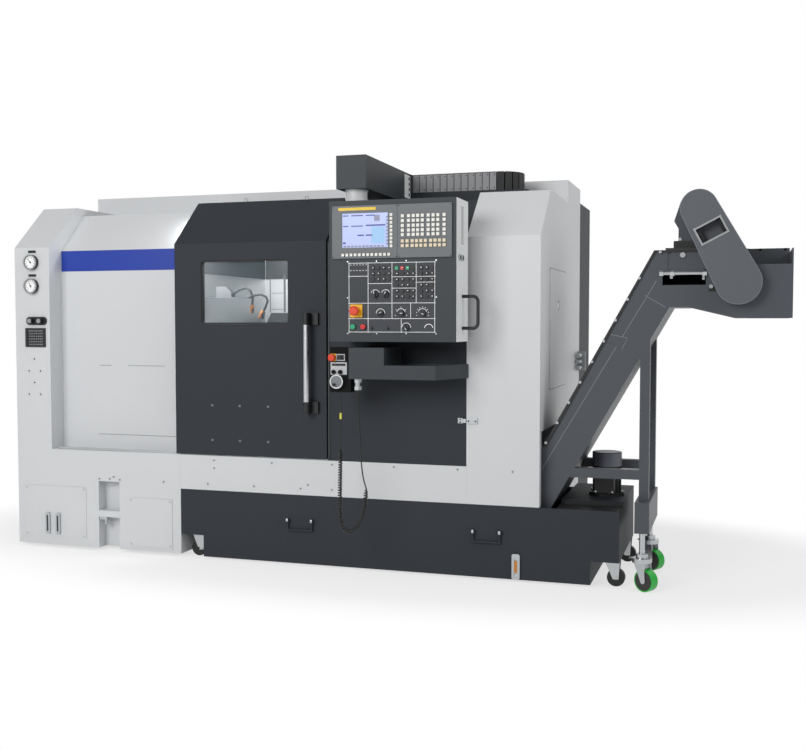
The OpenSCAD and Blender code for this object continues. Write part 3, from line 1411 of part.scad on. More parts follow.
module caster_fork(y) {
    in = wheel_w / 2 + cheek_gap;
    difference() {
        union() {
            rod_z(fork_z, foot_beam_z - stem_top_in, caster_x, y, stem_r);
            rod_z(fork_z + fork_disc_t, fork_z + fork_disc_t + collar_nut_t, caster_x, y, collar_nut_r);
            rod_z(fork_z, fork_z + fork_disc_t, caster_x, y, fork_disc_r);
            block([caster_x - fork_disc_r - pedal_len, y - pedal_w / 2, fork_z + pedal_t],
                [caster_x, y + pedal_w / 2, fork_z + 2 * pedal_t]);
            for (s = [-1, 1]) translate([0, y + s * (in + cheek_t / 2), 0])
                along_y(-cheek_t / 2, cheek_t / 2) {
                polygon([[caster_x - fork_disc_r * cheek_share, fork_z + fork_disc_t / 2],
                    [caster_x + fork_disc_r * cheek_share, fork_z + fork_disc_t / 2],
                    [caster_x + trail + axle_r * 2, wheel_r], [caster_x + trail - axle_r * 2, wheel_r]]);
                translate([caster_x + trail, wheel_r]) circle(axle_r * 2);
            }
        }
        for (s = [-1, 1]) rod_y(y + s * (in + cheek_t / 2) - cheek_t, y + s * (in + cheek_t / 2) + cheek_t,
            caster_x + trail, wheel_r, axle_r - overrun / 2);
    }
    rod_y(y - in - cheek_t, y + in + cheek_t, caster_x + trail, wheel_r, axle_r);
}
module caster_wheel(y) translate([caster_x + trail, y - wheel_w / 2, wheel_r])
    rotate([-90, 0, 0]) difference() {
    cylinder(h = wheel_w, r = wheel_r);
    translate([0, 0, -overrun]) cylinder(h = wheel_w + 2 * overrun, r = axle_r + run_gap);
    for (z = [-overrun, wheel_w - rim_t]) translate([0, 0, z]) difference() {
        cylinder(h = rim_t + overrun, r = wheel_r - rim_t * 2);
        translate([0, 0, -overrun]) cylinder(h = rim_t + 3 * overrun, r = hub_r);
    }
}
module caster_turned(y) translate([caster_x, y, 0]) rotate([0, 0, caster_turn_deg])
    translate([-caster_x, -y, 0]) children();
module caster_fork_front() color(steel) in_frame() caster_turned(caster_ys[0]) caster_fork(caster_ys[0]);
module caster_fork_rear() color(steel) in_frame() caster_turned(caster_ys[1]) caster_fork(caster_ys[1]);
module caster_wheel_front() color("#12b83a") in_frame()
    caster_turned(caster_ys[0]) caster_wheel(caster_ys[0]);
module caster_wheel_rear() color("#12b83a") in_frame()
    caster_turned(caster_ys[1]) caster_wheel(caster_ys[1]);

bed_casting();
levelling_feet();
headstock();
inner_lining();
chuck();
chuck_jaws();
saddle();
cross_slide();
turret_disc();
tailstock();
quill();
coolant_hoses();
left_cabinet();
lower_left_cover();
headstock_cover();
access_panels();
front_sill();
right_front_cover();
right_side_panel();
roof_panel();
rear_cover();
electrical_cabinet();
door_panel();
door_window();
handle_brackets();
door_handle();
guide_rails();
front_panel();
pendant_box();
screen_unit();
operator_panel();
pendant_handle();
estop_button();
start_button();
stop_button();
pendant_arm();
energy_chain();
tool_tray();
cord_gland();
handset_cord();
handset_curl();
handset_body();
handset_wheel();
cabinet_gauges();
sight_gauges();
coolant_tank();
tank_casters();
coolant_pump();
pipe_bracket();
conveyor_casing();
chain_guard();
drive_chain();
drive_sprockets();
conveyor_motor();
conveyor_support();
caster_fork_front();
caster_fork_rear();
caster_wheel_front();
caster_wheel_rear();
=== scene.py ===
# %% [markdown]
# # A turning lathe with a chip conveyor
# The measured solids of the machine come in as the frame, in metres.
# This lesson gives them their finishes, then adds the small things that a visitor sees:
# fasteners, printed lines, key caps, dial faces and the curled cord of the handset.
# Places are written in millimetres from the machine's left end and front plane,
# as a fitter would measure them, and one function turns them into the frame's metres.

# %% Load the frame
import math
import bmesh
import bpy
from mathutils import Matrix, Vector


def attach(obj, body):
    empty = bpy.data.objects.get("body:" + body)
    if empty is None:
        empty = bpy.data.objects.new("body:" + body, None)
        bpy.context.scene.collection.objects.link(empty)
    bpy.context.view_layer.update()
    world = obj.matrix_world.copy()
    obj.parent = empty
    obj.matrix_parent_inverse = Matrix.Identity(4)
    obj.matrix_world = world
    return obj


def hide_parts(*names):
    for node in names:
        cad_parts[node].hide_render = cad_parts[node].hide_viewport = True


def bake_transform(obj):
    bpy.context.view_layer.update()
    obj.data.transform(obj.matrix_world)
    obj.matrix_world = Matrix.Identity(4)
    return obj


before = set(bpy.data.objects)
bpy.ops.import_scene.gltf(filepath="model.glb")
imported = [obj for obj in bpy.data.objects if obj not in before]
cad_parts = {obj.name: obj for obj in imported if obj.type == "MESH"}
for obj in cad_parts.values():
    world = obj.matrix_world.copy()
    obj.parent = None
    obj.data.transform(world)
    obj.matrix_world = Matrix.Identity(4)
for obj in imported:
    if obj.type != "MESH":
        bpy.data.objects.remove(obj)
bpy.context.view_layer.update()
scene = bpy.context.scene
MM = 0.001
HALF_LENGTH = 1808.0
HALF_DEPTH = 612.5


def at(x, y, z):
    """A place in millimetres from the left end, the front plane and the floor, in the frame's metres."""
    return Vector(((x - HALF_LENGTH) * MM, (y - HALF_DEPTH) * MM, z * MM))


# %% [markdown]
# ## Camera, floor and light
# The machine was photographed from in front of its right end, about four and a half metres away
# and at chest height.
# A camera fitted to the straight edges of the covers gives its place, turn and lens.
# The floor is one pale sheet that curves up behind the machine, so no horizon shows.
# Large soft lamps stand at the front left, at the right and above, as in a product studio,
# and a small one lights the work space behind the window.

# %% Camera
PHOTO_WIDTH = 806
FOCAL_PIXELS = 1055
SENSOR_MM = 36
CAMERA_PLACE = (3417, -4400, 1105)
CAMERA_DOWN, CAMERA_LEFT = 2.8, 17.7
FAR_CLIP = 100
eye = bpy.data.cameras.new("studio_camera")
eye.sensor_width = SENSOR_MM
eye.lens = SENSOR_MM * FOCAL_PIXELS / PHOTO_WIDTH
eye.clip_end = FAR_CLIP
camera = bpy.data.objects.new("studio_camera", eye)
camera.location = at(*CAMERA_PLACE)
camera.rotation_euler = (math.radians(90 - CAMERA_DOWN), 0, math.radians(CAMERA_LEFT))
scene.collection.objects.link(camera)
scene.camera = camera
scene.view_settings.view_transform = "Standard"
print("lens", round(eye.lens, 2))

# %% Colour and node helpers
def linear(code):
    """An sRGB hex colour as linear RGBA."""
    parts = [int(code[i:i + 2], 16) / 255 for i in (1, 3, 5)]
    return [p / 12.92 if p <= 0.04045 else ((p + 0.055) / 1.055) ** 2.4 for p in parts] + [1.0]


def add(tree, kind, links=(), **settings):
    """One node with its settings; links maps an input's name to a value or to another node's output."""
    node = tree.nodes.new(kind)
    for name, value in settings.items():
        setattr(node, name, value)
    for name, value in dict(links).items():
        socket = node.inputs[name]
        if isinstance(value, bpy.types.NodeSocket):
            tree.links.new(value, socket)
        else:
            socket.default_value = value
    return node


def blank(name):
    """A new material with only its output, and that output."""
    mat = bpy.data.materials.new(name)
    mat.use_nodes = True
    mat.node_tree.nodes.clear()
    return mat, mat.node_tree, add(mat.node_tree, "ShaderNodeOutputMaterial")


print("mid grey in linear light", [round(v, 3) for v in linear("#808080")])

# %% Floor and backdrop
FLOOR_HALF = 14.0
BACK_Y = 5.0
BEND = 3.0
WALL_TOP = 12.0
STEPS = 16
SHADE_X, SHADE_Y = 1.9, 0.95
SHADE_END = 1.5
LEAST_GLOW = 0.66
profile = [(-FLOOR_HALF, 0.0), (BACK_Y, 0.0)]
profile += [(BACK_Y + BEND * math.sin(a), BEND * (1 - math.cos(a)))
            for a in (math.radians(90 * i / STEPS) for i in range(1, STEPS + 1))]
profile += [(BACK_Y + BEND, WALL_TOP)]
sweep_mesh = bpy.data.meshes.new("studio_sweep")
sweep_mesh.from_pydata(
    [(x, y, z) for y, z in profile for x in (-FLOOR_HALF, FLOOR_HALF)], [],
    [(2 * i, 2 * i + 1, 2 * i + 3, 2 * i + 2) for i in range(len(profile) - 1)])
sweep_mesh.shade_smooth()
studio_sweep = bpy.data.objects.new("studio_sweep", sweep_mesh)
scene.collection.objects.link(studio_sweep)
paper, tree, out = blank("seamless_paper")
paper_shader = add(tree, "ShaderNodeBsdfDiffuse", {"Color": linear("#F1F1F1")})
white_glow = add(tree, "ShaderNodeEmission", {"Color": linear("#FFFFFF"), "Strength": 1.0})
rays = add(tree, "ShaderNodeLightPath").outputs
seen = add(tree, "ShaderNodeMath", {0: rays["Is Camera Ray"], 1: rays["Is Glossy Ray"]}, operation="MAXIMUM")
seen = add(tree, "ShaderNodeMath", {0: seen.outputs[0], 1: rays["Is Transmission Ray"]}, operation="MAXIMUM")
spot = add(tree, "ShaderNodeTexCoord").outputs["Object"]
oval = add(tree, "ShaderNodeVectorMath", {0: spot, 1: (1 / SHADE_X, 1 / SHADE_Y, 0)}, operation="MULTIPLY")
away = add(tree, "ShaderNodeVectorMath", {0: oval.outputs[0]}, operation="LENGTH")
fade = add(tree, "ShaderNodeMapRange", {"Value": away.outputs["Value"], "From Min": 1.0, "From Max": SHADE_END,
                                        "To Min": LEAST_GLOW, "To Max": 1.0}, interpolation_type="SMOOTHSTEP")
share = add(tree, "ShaderNodeMath", {0: seen.outputs[0], 1: fade.outputs[0]}, operation="MULTIPLY")
blend = add(tree, "ShaderNodeMixShader", {
    0: share.outputs[0], 1: paper_shader.outputs[0], 2: white_glow.outputs[0]})
tree.links.new(blend.outputs[0], out.inputs[0])
sweep_mesh.materials.append(paper)
print("floor strips", len(sweep_mesh.polygons))

# %% Lamps and sky
def soft_lamp(name, place, aim, size, power):
    """A square soft box at a place, turned to look at its aim."""
    light = bpy.data.lights.new(name, "AREA")
    light.size = size
    light.energy = power
    lamp = bpy.data.objects.new(name, light)
    lamp.location = place
    lamp.rotation_euler = (Vector(aim) - Vector(place)).to_track_quat("-Z", "Y").to_euler()
    scene.collection.objects.link(lamp)


# Places and sizes of the lamps are in metres, their power is in watts.
soft_lamp("key_box", (-1.8, -6.1, 3.2), (0, 0, 0.9), 3.0, 188)
soft_lamp("fill_box", (5.4, -2.2, 3.3), (0.8, 0, 1.4), 2.6, 70)
soft_lamp("top_box", (0.2, 0.4, 5.2), (0, 0, 0), 4.0, 24)
soft_lamp("work_light", at(1030, 230, 1560), at(889, 330, 1200), 0.22, 15)
world = bpy.data.worlds.new("studio_world")
world.use_nodes = True
SKY_LIGHT, SKY_SEEN = 0.34, 1.0
sky = world.node_tree.nodes["Background"]
sky.inputs["Color"].default_value = linear("#FFFFFF")
view_ray = add(world.node_tree, "ShaderNodeLightPath").outputs["Is Camera Ray"]
strength = add(world.node_tree, "ShaderNodeMapRange", {"Value": view_ray, "To Min": SKY_LIGHT,
                                                       "To Max": SKY_SEEN})
world.node_tree.links.new(strength.outputs[0], sky.inputs["Strength"])
scene.world = world
print("lamps", len(bpy.data.lights))

# %% [markdown]
# ## Finishes
# Most of the machine is powder-coated sheet steel: the paint melts into a fine pebbled skin
# that spreads reflections softly. The pebbles are about a millimetre across, which is too fine for this
# picture, so they are drawn a few millimetres wide. Ground and turned steel shows faint lines instead.
# Every finish reads Object coordinates, so the grain has the same size on all pieces.

# %% Finish maker
# The colour sockets of a Mix node share their names with others, so they go by number.
MIX_A, MIX_B, MIX_RESULT = 6, 7, 2
CLOUD_SCALE = 3.0
DETAIL = 2.0


def finish(name, colour, rough, metal=0.0, grain_mm=0.0, depth_mm=0.0, drift=0.0, lines=None, coat=0.0,
           shine=0.5):
    """A named finish: plain colour with a pebbled or lined skin and a slow drift of its shade."""
    mat, tree, out = blank(name)
    shader = add(tree, "ShaderNodeBsdfPrincipled", {
        "Roughness": rough, "Metallic": metal, "Coat Weight": coat, "Specular IOR Level": shine})
    shader.inputs["Base Color"].default_value = linear(colour)
    mat.diffuse_color = linear(colour)
    place = add(tree, "ShaderNodeTexCoord").outputs["Object"]
    if drift:
        cloud = add(tree, "ShaderNodeTexNoise", {"Vector": place, "Scale": CLOUD_SCALE, "Detail": DETAIL})
        shade = add(tree, "ShaderNodeMix", {"Factor": cloud.outputs["Fac"]}, data_type="RGBA")
        for socket, gain in ((MIX_A, 1 - drift), (MIX_B, 1 + drift)):
            shade.inputs[socket].default_value = [min(1.0, c * gain) for c in linear(colour)[:3]] + [1]
        tree.links.new(shade.outputs[MIX_RESULT], shader.inputs["Base Color"])
    if grain_mm:
        if lines:
            place = add(tree, "ShaderNodeMapping", {"Vector": place, "Scale": lines}).outputs[0]
        grain = add(tree, "ShaderNodeTexNoise", {"Vector": place, "Scale": 1 / (grain_mm * MM),
                                                 "Detail": DETAIL})
        bump = add(tree, "ShaderNodeBump", {"Height": grain.outputs["Fac"], "Distance": depth_mm * MM})
        tree.links.new(bump.outputs[0], shader.inputs["Normal"])
    tree.links.new(shader.outputs[0], out.inputs[0])
    return mat


ALONG_X = (0.03, 1, 1)
white_coat = finish("white_powder_coat", "#D4D6D8", 0.42, grain_mm=4, depth_mm=0.10, drift=0.02)
charcoal_coat = finish("charcoal_powder_coat", "#30343A", 0.6, grain_mm=4, depth_mm=0.12, drift=0.05,
                       shine=0.25)
pendant_coat = finish("grey_powder_coat", "#3D4246", 0.5, grain_mm=4, depth_mm=0.10, drift=0.04, shine=0.25)
conveyor_coat = finish("conveyor_enamel", "#4F5359", 0.45, grain_mm=6, depth_mm=0.10, drift=0.05, shine=0.3)
casting = finish("painted_casting", "#7B7F82", 0.5, grain_mm=5, depth_mm=0.3, drift=0.06)
ground_steel = finish("ground_steel", "#C4C6C8", 0.3, metal=1, grain_mm=2, depth_mm=0.02, lines=ALONG_X)
lining_steel = finish("stainless_lining", "#C8CACB", 0.42, metal=1, grain_mm=3, depth_mm=0.03, lines=ALONG_X)
zinc = finish("zinc_plated_steel", "#BFC2C4", 0.32, metal=1, drift=0.08)
black_steel = finish("oiled_black_steel", "#3A3B3D", 0.38, metal=1)
satin_aluminium = finish("satin_anodised_aluminium", "#D0D2D4", 0.32, metal=1, grain_mm=1.5, depth_mm=0.01,
                         lines=(1, 1, 0.03))
black_abs = finish("black_moulded_abs", "#1D1E20", 0.5, grain_mm=3, depth_mm=0.05)
housing_abs = finish("grey_screen_housing", "#686C6F", 0.5, grain_mm=3, depth_mm=0.04)
panel_film = finish("dark_panel_film", "#43464B", 0.5, shine=0.25)
cream_key = finish("cream_key_plastic", "#EDEBE4", 0.5)
beige_key = finish("beige_key_plastic", "#E6D6B8", 0.5)
black_key = finish("black_key_plastic", "#17181A", 0.45)
white_print = finish("white_print", "#FFFFFF", 0.5)
blue_film = finish("blue_vinyl_film", "#1D3CA4", 0.35)
yellow_film = finish("yellow_vinyl_film", "#E6C21C", 0.4)
stop_red = finish("signal_red_plastic", "#DC3A08", 0.35, coat=0.1)
stop_yellow = finish("signal_yellow_plastic", "#F2B81B", 0.4)
halt_red = finish("red_button_plastic", "#CE1A1A", 0.3, coat=0.3)
start_green = finish("green_button_plastic", "#12A06E", 0.3, coat=0.3)
tread_green = finish("green_polyurethane", "#10B437", 0.4, coat=0.2)
black_rubber = finish("black_rubber", "#19191A", 0.6)
seam_dark = finish("seam_shadow", "#5A5C5E", 0.7)
slate_coat = finish("slate_enamel", "#646772", 0.4)
# A pale colour for the pendant's right side and the arm's end plate: a painted highlight for the light from the
# right that brightens them, not a paint of their own.
painted_highlight_coat = finish("pale_painted_highlight", "#EEF0F0", 0.45, grain_mm=4, depth_mm=0.08)
guard_coat = finish("guard_enamel", "#595D63", 0.5, grain_mm=4, depth_mm=0.08)
dial_grey = finish("grey_dial_plastic", "#C2C4C7", 0.4)
link_grey = finish("grey_link_nylon", "#8B8C8F", 0.5)
nozzle_orange = finish("orange_nozzle_plastic", "#D07B33", 0.45)
sleeve_yellow = finish("pale_yellow_sleeve", "#E4E05A", 0.45)
amber_oil = finish("amber_oil", "#C27A1C", 0.2, coat=0.6)
worn_edge = finish("worn_sheet_edge", "#787C81", 0.4)
hub_black = finish("dark_wheel_core", "#2B2A27", 0.45)
handset_black = finish("black_handset_rubber", "#0E0F10", 0.7, shine=0.15)
cord_black = finish("glossy_black_rubber", "#0F0F10", 0.3, coat=0.3)
print("finishes", len(bpy.data.materials))

# %% Glass
# Laminated safety glass: almost clear, with a faint grey tint and a sharp reflection.
glass, tree, out = blank("laminated_safety_glass")
glass_shader = add(tree, "ShaderNodeBsdfPrincipled", {
    "Base Color": linear("#8FA0A6"), "Roughness": 0.04, "Alpha": 0.16, "IOR": 1.5})
tree.links.new(glass_shader.outputs[0], out.inputs[0])
print("glass", glass.name)

# %% Finishes on the solids
FINISH_OF = {
    white_coat: """left_cabinet lower_left_cover headstock_cover access_panels front_sill right_front_cover
        right_side_panel rear_cover""",
    charcoal_coat: "roof_panel electrical_cabinet front_panel door_panel coolant_tank",
    pendant_coat: "pendant_box pendant_arm tool_tray",
    conveyor_coat: "conveyor_casing conveyor_motor conveyor_support",
    guard_coat: "chain_guard",
    casting: "bed_casting headstock saddle cross_slide tailstock",
    ground_steel: "chuck chuck_jaws turret_disc quill",
    lining_steel: "inner_lining",
    zinc: """levelling_feet guide_rails pipe_bracket cord_gland caster_fork_front caster_fork_rear
        sight_gauges""",
    black_steel: "drive_chain drive_sprockets",
    satin_aluminium: "door_handle handset_wheel",
    handset_black: "handset_body",
    black_abs: "handle_brackets energy_chain cabinet_gauges coolant_pump coolant_hoses pendant_handle",
    housing_abs: "screen_unit",
    panel_film: "operator_panel",
    glass: "door_window",
    stop_red: "estop_button",
    halt_red: "stop_button",
    start_green: "start_button",
    tread_green: "caster_wheel_front caster_wheel_rear",
    black_rubber: "tank_casters handset_cord handset_curl",
}
dressed = 0
for mat, names in FINISH_OF.items():
    for name in names.split():
        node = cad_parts[name]
        if not node.material_slots:
            node.data.materials.append(mat)
        for place in node.material_slots:
            place.link = "OBJECT"
            place.material = mat
        dressed += 1
print("solids with a finish", dressed)

# %% [markdown]
# ## The handset's curled cord
# The handset hangs on a black rubber cord: straight out of the gland, then a long curled part
# that hangs in a loop, then straight up into the handset. The photograph shows it from end to end.
# One open curve follows the straight parts and winds round the middle part as a helix;
# a small loop walks along the route and turns the point as it goes.

# %% Cord
CORD_PLANE = -200
CORD_MM = 6
CURL_MM = 20
CURL_PITCH = 11
POINTS_PER_TURN = 14
EASE_POINTS = 2 * POINTS_PER_TURN
SPACING = 12
FINE_STEPS = 40
cord_in = [(1875, 823), (1875, 790), (1877, 740), (1880, 690), (1883, 640), (1886, 590), (1889, 540),
           (1892, 500), (1897, 460), (1904, 430), (1912, 405)]
curl_route = [(1912, 405), (1910, 370), (1904, 330), (1894, 290), (1878, 254), (1856, 226), (1830, 214),
              (1808, 228), (1796, 260), (1792, 300), (1792, 350), (1793, 400), (1794, 460), (1795, 520),
              (1795, 574)]
cord_out = [(1795, 574), (1795, 610), (1796, 650), (1797, 700), (1797, 750), (1797, 790), (1797, 812)]


def smooth_route(points, spacing):
    """Points at an even spacing along a smooth line through the given ones (X, Z)."""
    pts = [Vector(p) for p in points]
    pts = [2 * pts[0] - pts[1]] + pts + [2 * pts[-1] - pts[-2]]
    fine = []
    for a, b, c, d in zip(pts, pts[1:], pts[2:], pts[3:]):
        for k in range(FINE_STEPS):
            t = k / FINE_STEPS
            fine.append(0.5 * (2 * b + (c - a) * t + (2 * a - 5 * b + 4 * c - d) * t ** 2
                               + (3 * b - a - 3 * c + d) * t ** 3))
    fine.append(pts[-2])
    out, left = [fine[0]], spacing
    for a, b in zip(fine, fine[1:]):
        step = (b - a).length
        while step >= left and step > 0:
            a = a + (b - a) * (left / step)
            out.append(a)
            step -= left
            left = spacing
        left -= step
    return out + [fine[-1]]


route = [at(x, CORD_PLANE, z) for x, z in smooth_route(cord_in, SPACING)[:-1]]
curl = smooth_route(curl_route, CURL_PITCH / POINTS_PER_TURN)
reach = (CURL_MM - CORD_MM) / 2
for i, spot in enumerate(curl):
    ahead = (curl[min(i + 1, len(curl) - 1)] - curl[max(i - 1, 0)]).normalized()
    turn = 2 * math.pi * i / POINTS_PER_TURN
    ease = min(1, i / EASE_POINTS, (len(curl) - 1 - i) / EASE_POINTS)
    aside = reach * ease * math.cos(turn)
    route.append(at(spot.x + ahead.y * aside, CORD_PLANE + reach * ease * math.sin(turn),
                    spot.y - ahead.x * aside))
route += [at(x, CORD_PLANE, z) for x, z in smooth_route(cord_out, SPACING)[1:]]
line = bpy.data.curves.new("handset_cord_line", "CURVE")
line.dimensions = "3D"
line.bevel_depth = CORD_MM * MM / 2
line.bevel_resolution = 2
spline = line.splines.new("POLY")
spline.points.add(len(route) - 1)
for point, spot in zip(spline.points, route):
    point.co = (*spot, 1)
cord = bpy.data.objects.new("curled_cord", line)
line.materials.append(cord_black)
scene.collection.objects.link(cord)
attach(cord, "machine")
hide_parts("handset_cord", "handset_curl")

# %% [markdown]
# ## Small solids and what repeats
# Labels, printed lines and cover strips are boxes and flat outlines, joined into one mesh for each piece.
# Screws, bolt heads and key caps repeat, so two small Geometry Nodes trees make them:
# one sets a turned peg on every point, the other sets a square tile there.
# A fixed seed turns each screw by another angle, as a fitter leaves them.

# %% Solid helpers
SHARP_ANGLE = math.radians(35)


def box(lo, hi):
    """A box between two places, as vertices and faces."""
    (x0, y0, z0), (x1, y1, z1) = lo, hi
    spots = [at(x, y, z) for z in (z0, z1) for x, y in ((x0, y0), (x1, y0), (x1, y1), (x0, y1))]
    return spots, [(0, 3, 2, 1), (4, 5, 6, 7), (0, 1, 5, 4), (1, 2, 6, 5), (2, 3, 7, 6), (3, 0, 4, 7)]


def prism(outline, y0, y1):
    """A flat outline of (X, Z) points with a thickness from y0 at the front to y1."""
    n = len(outline)
    spots = [at(x, y, z) for y in (y0, y1) for x, z in outline]
    sides = [(i, (i + 1) % n, n + (i + 1) % n, n + i) for i in range(n)]
    return spots, [tuple(range(n))[::-1], tuple(range(n, 2 * n))] + sides


def circle(x, z, r, sides=32, start=0.0, sweep=360.0):
    """Points of a circle, or of an arc of it, as (X, Z)."""
    count = sides if sweep == 360 else sides + 1
    return [(x + r * math.cos(math.radians(start + sweep * i / sides)),
             z + r * math.sin(math.radians(start + sweep * i / sides))) for i in range(count)]


def arc_band(x, z, r, width, start, sweep, y0, y1, sides=16):
    """A printed arc of a given width round a knob."""
    return prism(circle(x, z, r, sides, start, sweep) + circle(x, z, r + width, sides, start, sweep)[::-1], y0,
                 y1)


def hand(x, z, degrees, corners, y0, y1):
    """A flat pointer about (x, z); its corners are (distance along it, distance aside) pairs."""
    c, s = math.cos(math.radians(degrees)), math.sin(math.radians(degrees))
    return prism([(x + r * c - w * s, z + r * s + w * c) for r, w in corners], y0, y1)


def frame_band(outer, inner, y0, y1):
    """A band between two outlines with the same count of points."""
    n = len(outer)
    spots = [at(x, y, z) for y in (y0, y1) for line in (outer, inner) for x, z in line]
    faces = []
    for i in range(n):
        k = (i + 1) % n
        faces += [(i, k, n + k, n + i), (2 * n + i, 3 * n + i, 3 * n + k, 2 * n + k),
                  (i, 2 * n + i, 2 * n + k, k), (n + i, n + k, 3 * n + k, 3 * n + i)]
    return spots, faces


def hoop(x, z, r_out, r_in, y0, y1, sides=40):
    """A flat ring between two radii."""
    return frame_band(circle(x, z, r_out, sides), circle(x, z, r_in, sides), y0, y1)


def turned(profile, centre, axis=(0, -1, 0), sides=28):
    """A turned solid from (distance along the axis, radius) pairs, closed at both ends."""
    ahead = Vector(axis).normalized()
    side = ahead.orthogonal().normalized()
    other = ahead.cross(side)
    rim = [side * math.cos(a) + other * math.sin(a) for a in (2 * math.pi * i / sides for i in range(sides))]
    spots = [at(*(Vector(centre) + ahead * far + way * r)) for far, r in profile for way in rim]
    last = sides * (len(profile) - 1)
    faces = [(k + i, k + (i + 1) % sides, k + sides + (i + 1) % sides, k + sides + i)
             for k in range(0, last, sides) for i in range(sides)]
    return spots, faces + [tuple(range(sides))[::-1], tuple(range(last, last + sides))]


def place_piece(obj, body):
    """Links a finished mesh object and lets it ride on its body."""
    if obj.name not in scene.collection.objects:
        scene.collection.objects.link(obj)
    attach(obj, body)


def join(name, solids, mat, slot, body="machine", bevel=0.0, smooth=False):
    """One piece from several solids."""
    spots, faces = [], []
    for some, sides in solids:
        faces += [tuple(i + len(spots) for i in side) for side in sides]
        spots += some
    mesh = bpy.data.meshes.new(name)
    mesh.from_pydata(spots, [], faces)
    shell = bmesh.new()
    shell.from_mesh(mesh)
    bmesh.ops.recalc_face_normals(shell, faces=shell.faces)
    shell.to_mesh(mesh)
    shell.free()
    if smooth:
        mesh.shade_smooth()
        mesh.set_sharp_from_angle(angle=SHARP_ANGLE)
    mesh.materials.append(mat)
    obj = bpy.data.objects.new(name, mesh)
    if bevel:
        edge = obj.modifiers.new("edge", "BEVEL")
        edge.width = bevel * MM
        edge.segments = 2
        edge.limit_method = "ANGLE"
    place_piece(obj, body)


# Finishes that many small pieces share, each with the slot it stands for.
ZINC = (zinc, "bright_steel")
BLACK = (black_key, "black_plastic")
DARK = (black_steel, "dark_steel")
# Slots of pieces that swing with the pendant, each with its body.
ON_SCREEN = ("screen_plastic", "pendant")
ON_PANEL = ("pendant_paint", "pendant")
print("helpers ready")

# %% Trees for pegs and tiles
# The sockets of a Random Value node share their names too.
RANDOM_MAX, RANDOM_FLOAT = 3, 1
SEED = 7


def repeat_tree(name, kind, inputs):
    """A tree that sets one small solid on every point of a mesh, with named inputs for its sizes."""
    group = bpy.data.node_groups.new(name, "GeometryNodeTree")
    face = group.interface
    face.new_socket("Geometry", in_out="INPUT", socket_type="NodeSocketGeometry")
    face.new_socket("Geometry", in_out="OUTPUT", socket_type="NodeSocketGeometry")
    for label, sort in inputs + [("Turn", "NodeSocketVector"), ("Seed", "NodeSocketInt"),
                                 ("Spread", "NodeSocketFloat"), ("Finish", "NodeSocketMaterial")]:
        face.new_socket(label, in_out="INPUT", socket_type=sort)
    source = add(group, "NodeGroupInput").outputs
    solid = add(group, kind, {label: source[label] for label, _ in inputs})
    turn = add(group, "FunctionNodeEulerToRotation", {"Euler": source["Turn"]})
    stand = add(group, "GeometryNodeInstanceOnPoints", {
        "Points": source["Geometry"], "Instance": solid.outputs[0], "Rotation": turn.outputs[0]})
    chance = add(group, "FunctionNodeRandomValue", data_type="FLOAT")
    group.links.new(source["Spread"], chance.inputs[RANDOM_MAX])
    group.links.new(source["Seed"], chance.inputs["Seed"])
    spin = add(group, "ShaderNodeCombineXYZ", {"Z": chance.outputs[RANDOM_FLOAT]})
    roll = add(group, "FunctionNodeEulerToRotation", {"Euler": spin.outputs[0]})
    rolled = add(group, "GeometryNodeRotateInstances", {"Instances": stand.outputs[0],
                                                        "Rotation": roll.outputs[0]})
    real = add(group, "GeometryNodeRealizeInstances", {"Geometry": rolled.outputs[0]})
    flat = add(group, "GeometryNodeSetShadeSmooth", {"Geometry": real.outputs[0], "Shade Smooth": False})
    painted = add(group, "GeometryNodeSetMaterial", {"Geometry": flat.outputs[0], "Material": source["Finish"]})
    add(group, "NodeGroupOutput", {"Geometry": painted.outputs[0]})
    return group


PEGS = repeat_tree("pegs", "GeometryNodeMeshCylinder", [
    ("Vertices", "NodeSocketInt"), ("Radius", "NodeSocketFloat"), ("Depth", "NodeSocketFloat")])
TILES = repeat_tree("tiles", "GeometryNodeMeshCube", [("Size", "NodeSocketVector")])
TO_FRONT = (math.radians(90), 0, 0)
TO_RIGHT = (0, math.radians(90), 0)
UPRIGHT = (0, 0, 0)


def repeat(name, group, spots, mat, slot, body, turn, spread, **sizes):
    """Runs a tree over a list of places and keeps the result as one plain mesh."""
    cloud = bpy.data.meshes.new(name)
    cloud.from_pydata([at(*spot) for spot in spots], [], [])
    obj = bpy.data.objects.new(name, cloud)
    scene.collection.objects.link(obj)
    steps = obj.modifiers.new("repeat", "NODES")
    steps.node_group = group
    values = dict(sizes, Turn=turn, Seed=SEED, Spread=spread, Finish=mat)
    for item in group.interface.items_tree:
        if item.in_out == "INPUT" and item.name in values:
            steps[item.identifier] = values[item.name]
    mesh = bpy.data.meshes.new_from_object(obj.evaluated_get(bpy.context.evaluated_depsgraph_get()))
    obj.modifiers.clear()
    obj.data = mesh
    place_piece(obj, body)


def pegs(name, spots, radius, depth, mat, slot, body="machine", sides=16, turn=TO_FRONT):
    """Round pegs, such as screw heads, at a list of places."""
    repeat(name, PEGS, spots, mat, slot, body, turn, math.pi, Vertices=sides, Radius=radius * MM,
           Depth=depth * MM)


def tiles(name, spots, size, mat, slot, body="machine"):
    """Square tiles, such as key caps, at a list of places."""
    repeat(name, TILES, spots, mat, slot, body, UPRIGHT, 0.0, Size=[s * MM for s in size])


print("trees", PEGS.name, TILES.name)

# %% [markdown]
# ## Covers
# The white covers carry a blue band under the slope of the headstock cover, faint seams,
# and zinc screws with dark sockets that hold the sheets. The band and the seams are thin strips on the sheet.
# Most screws stand two millimetres proud, as button heads do.

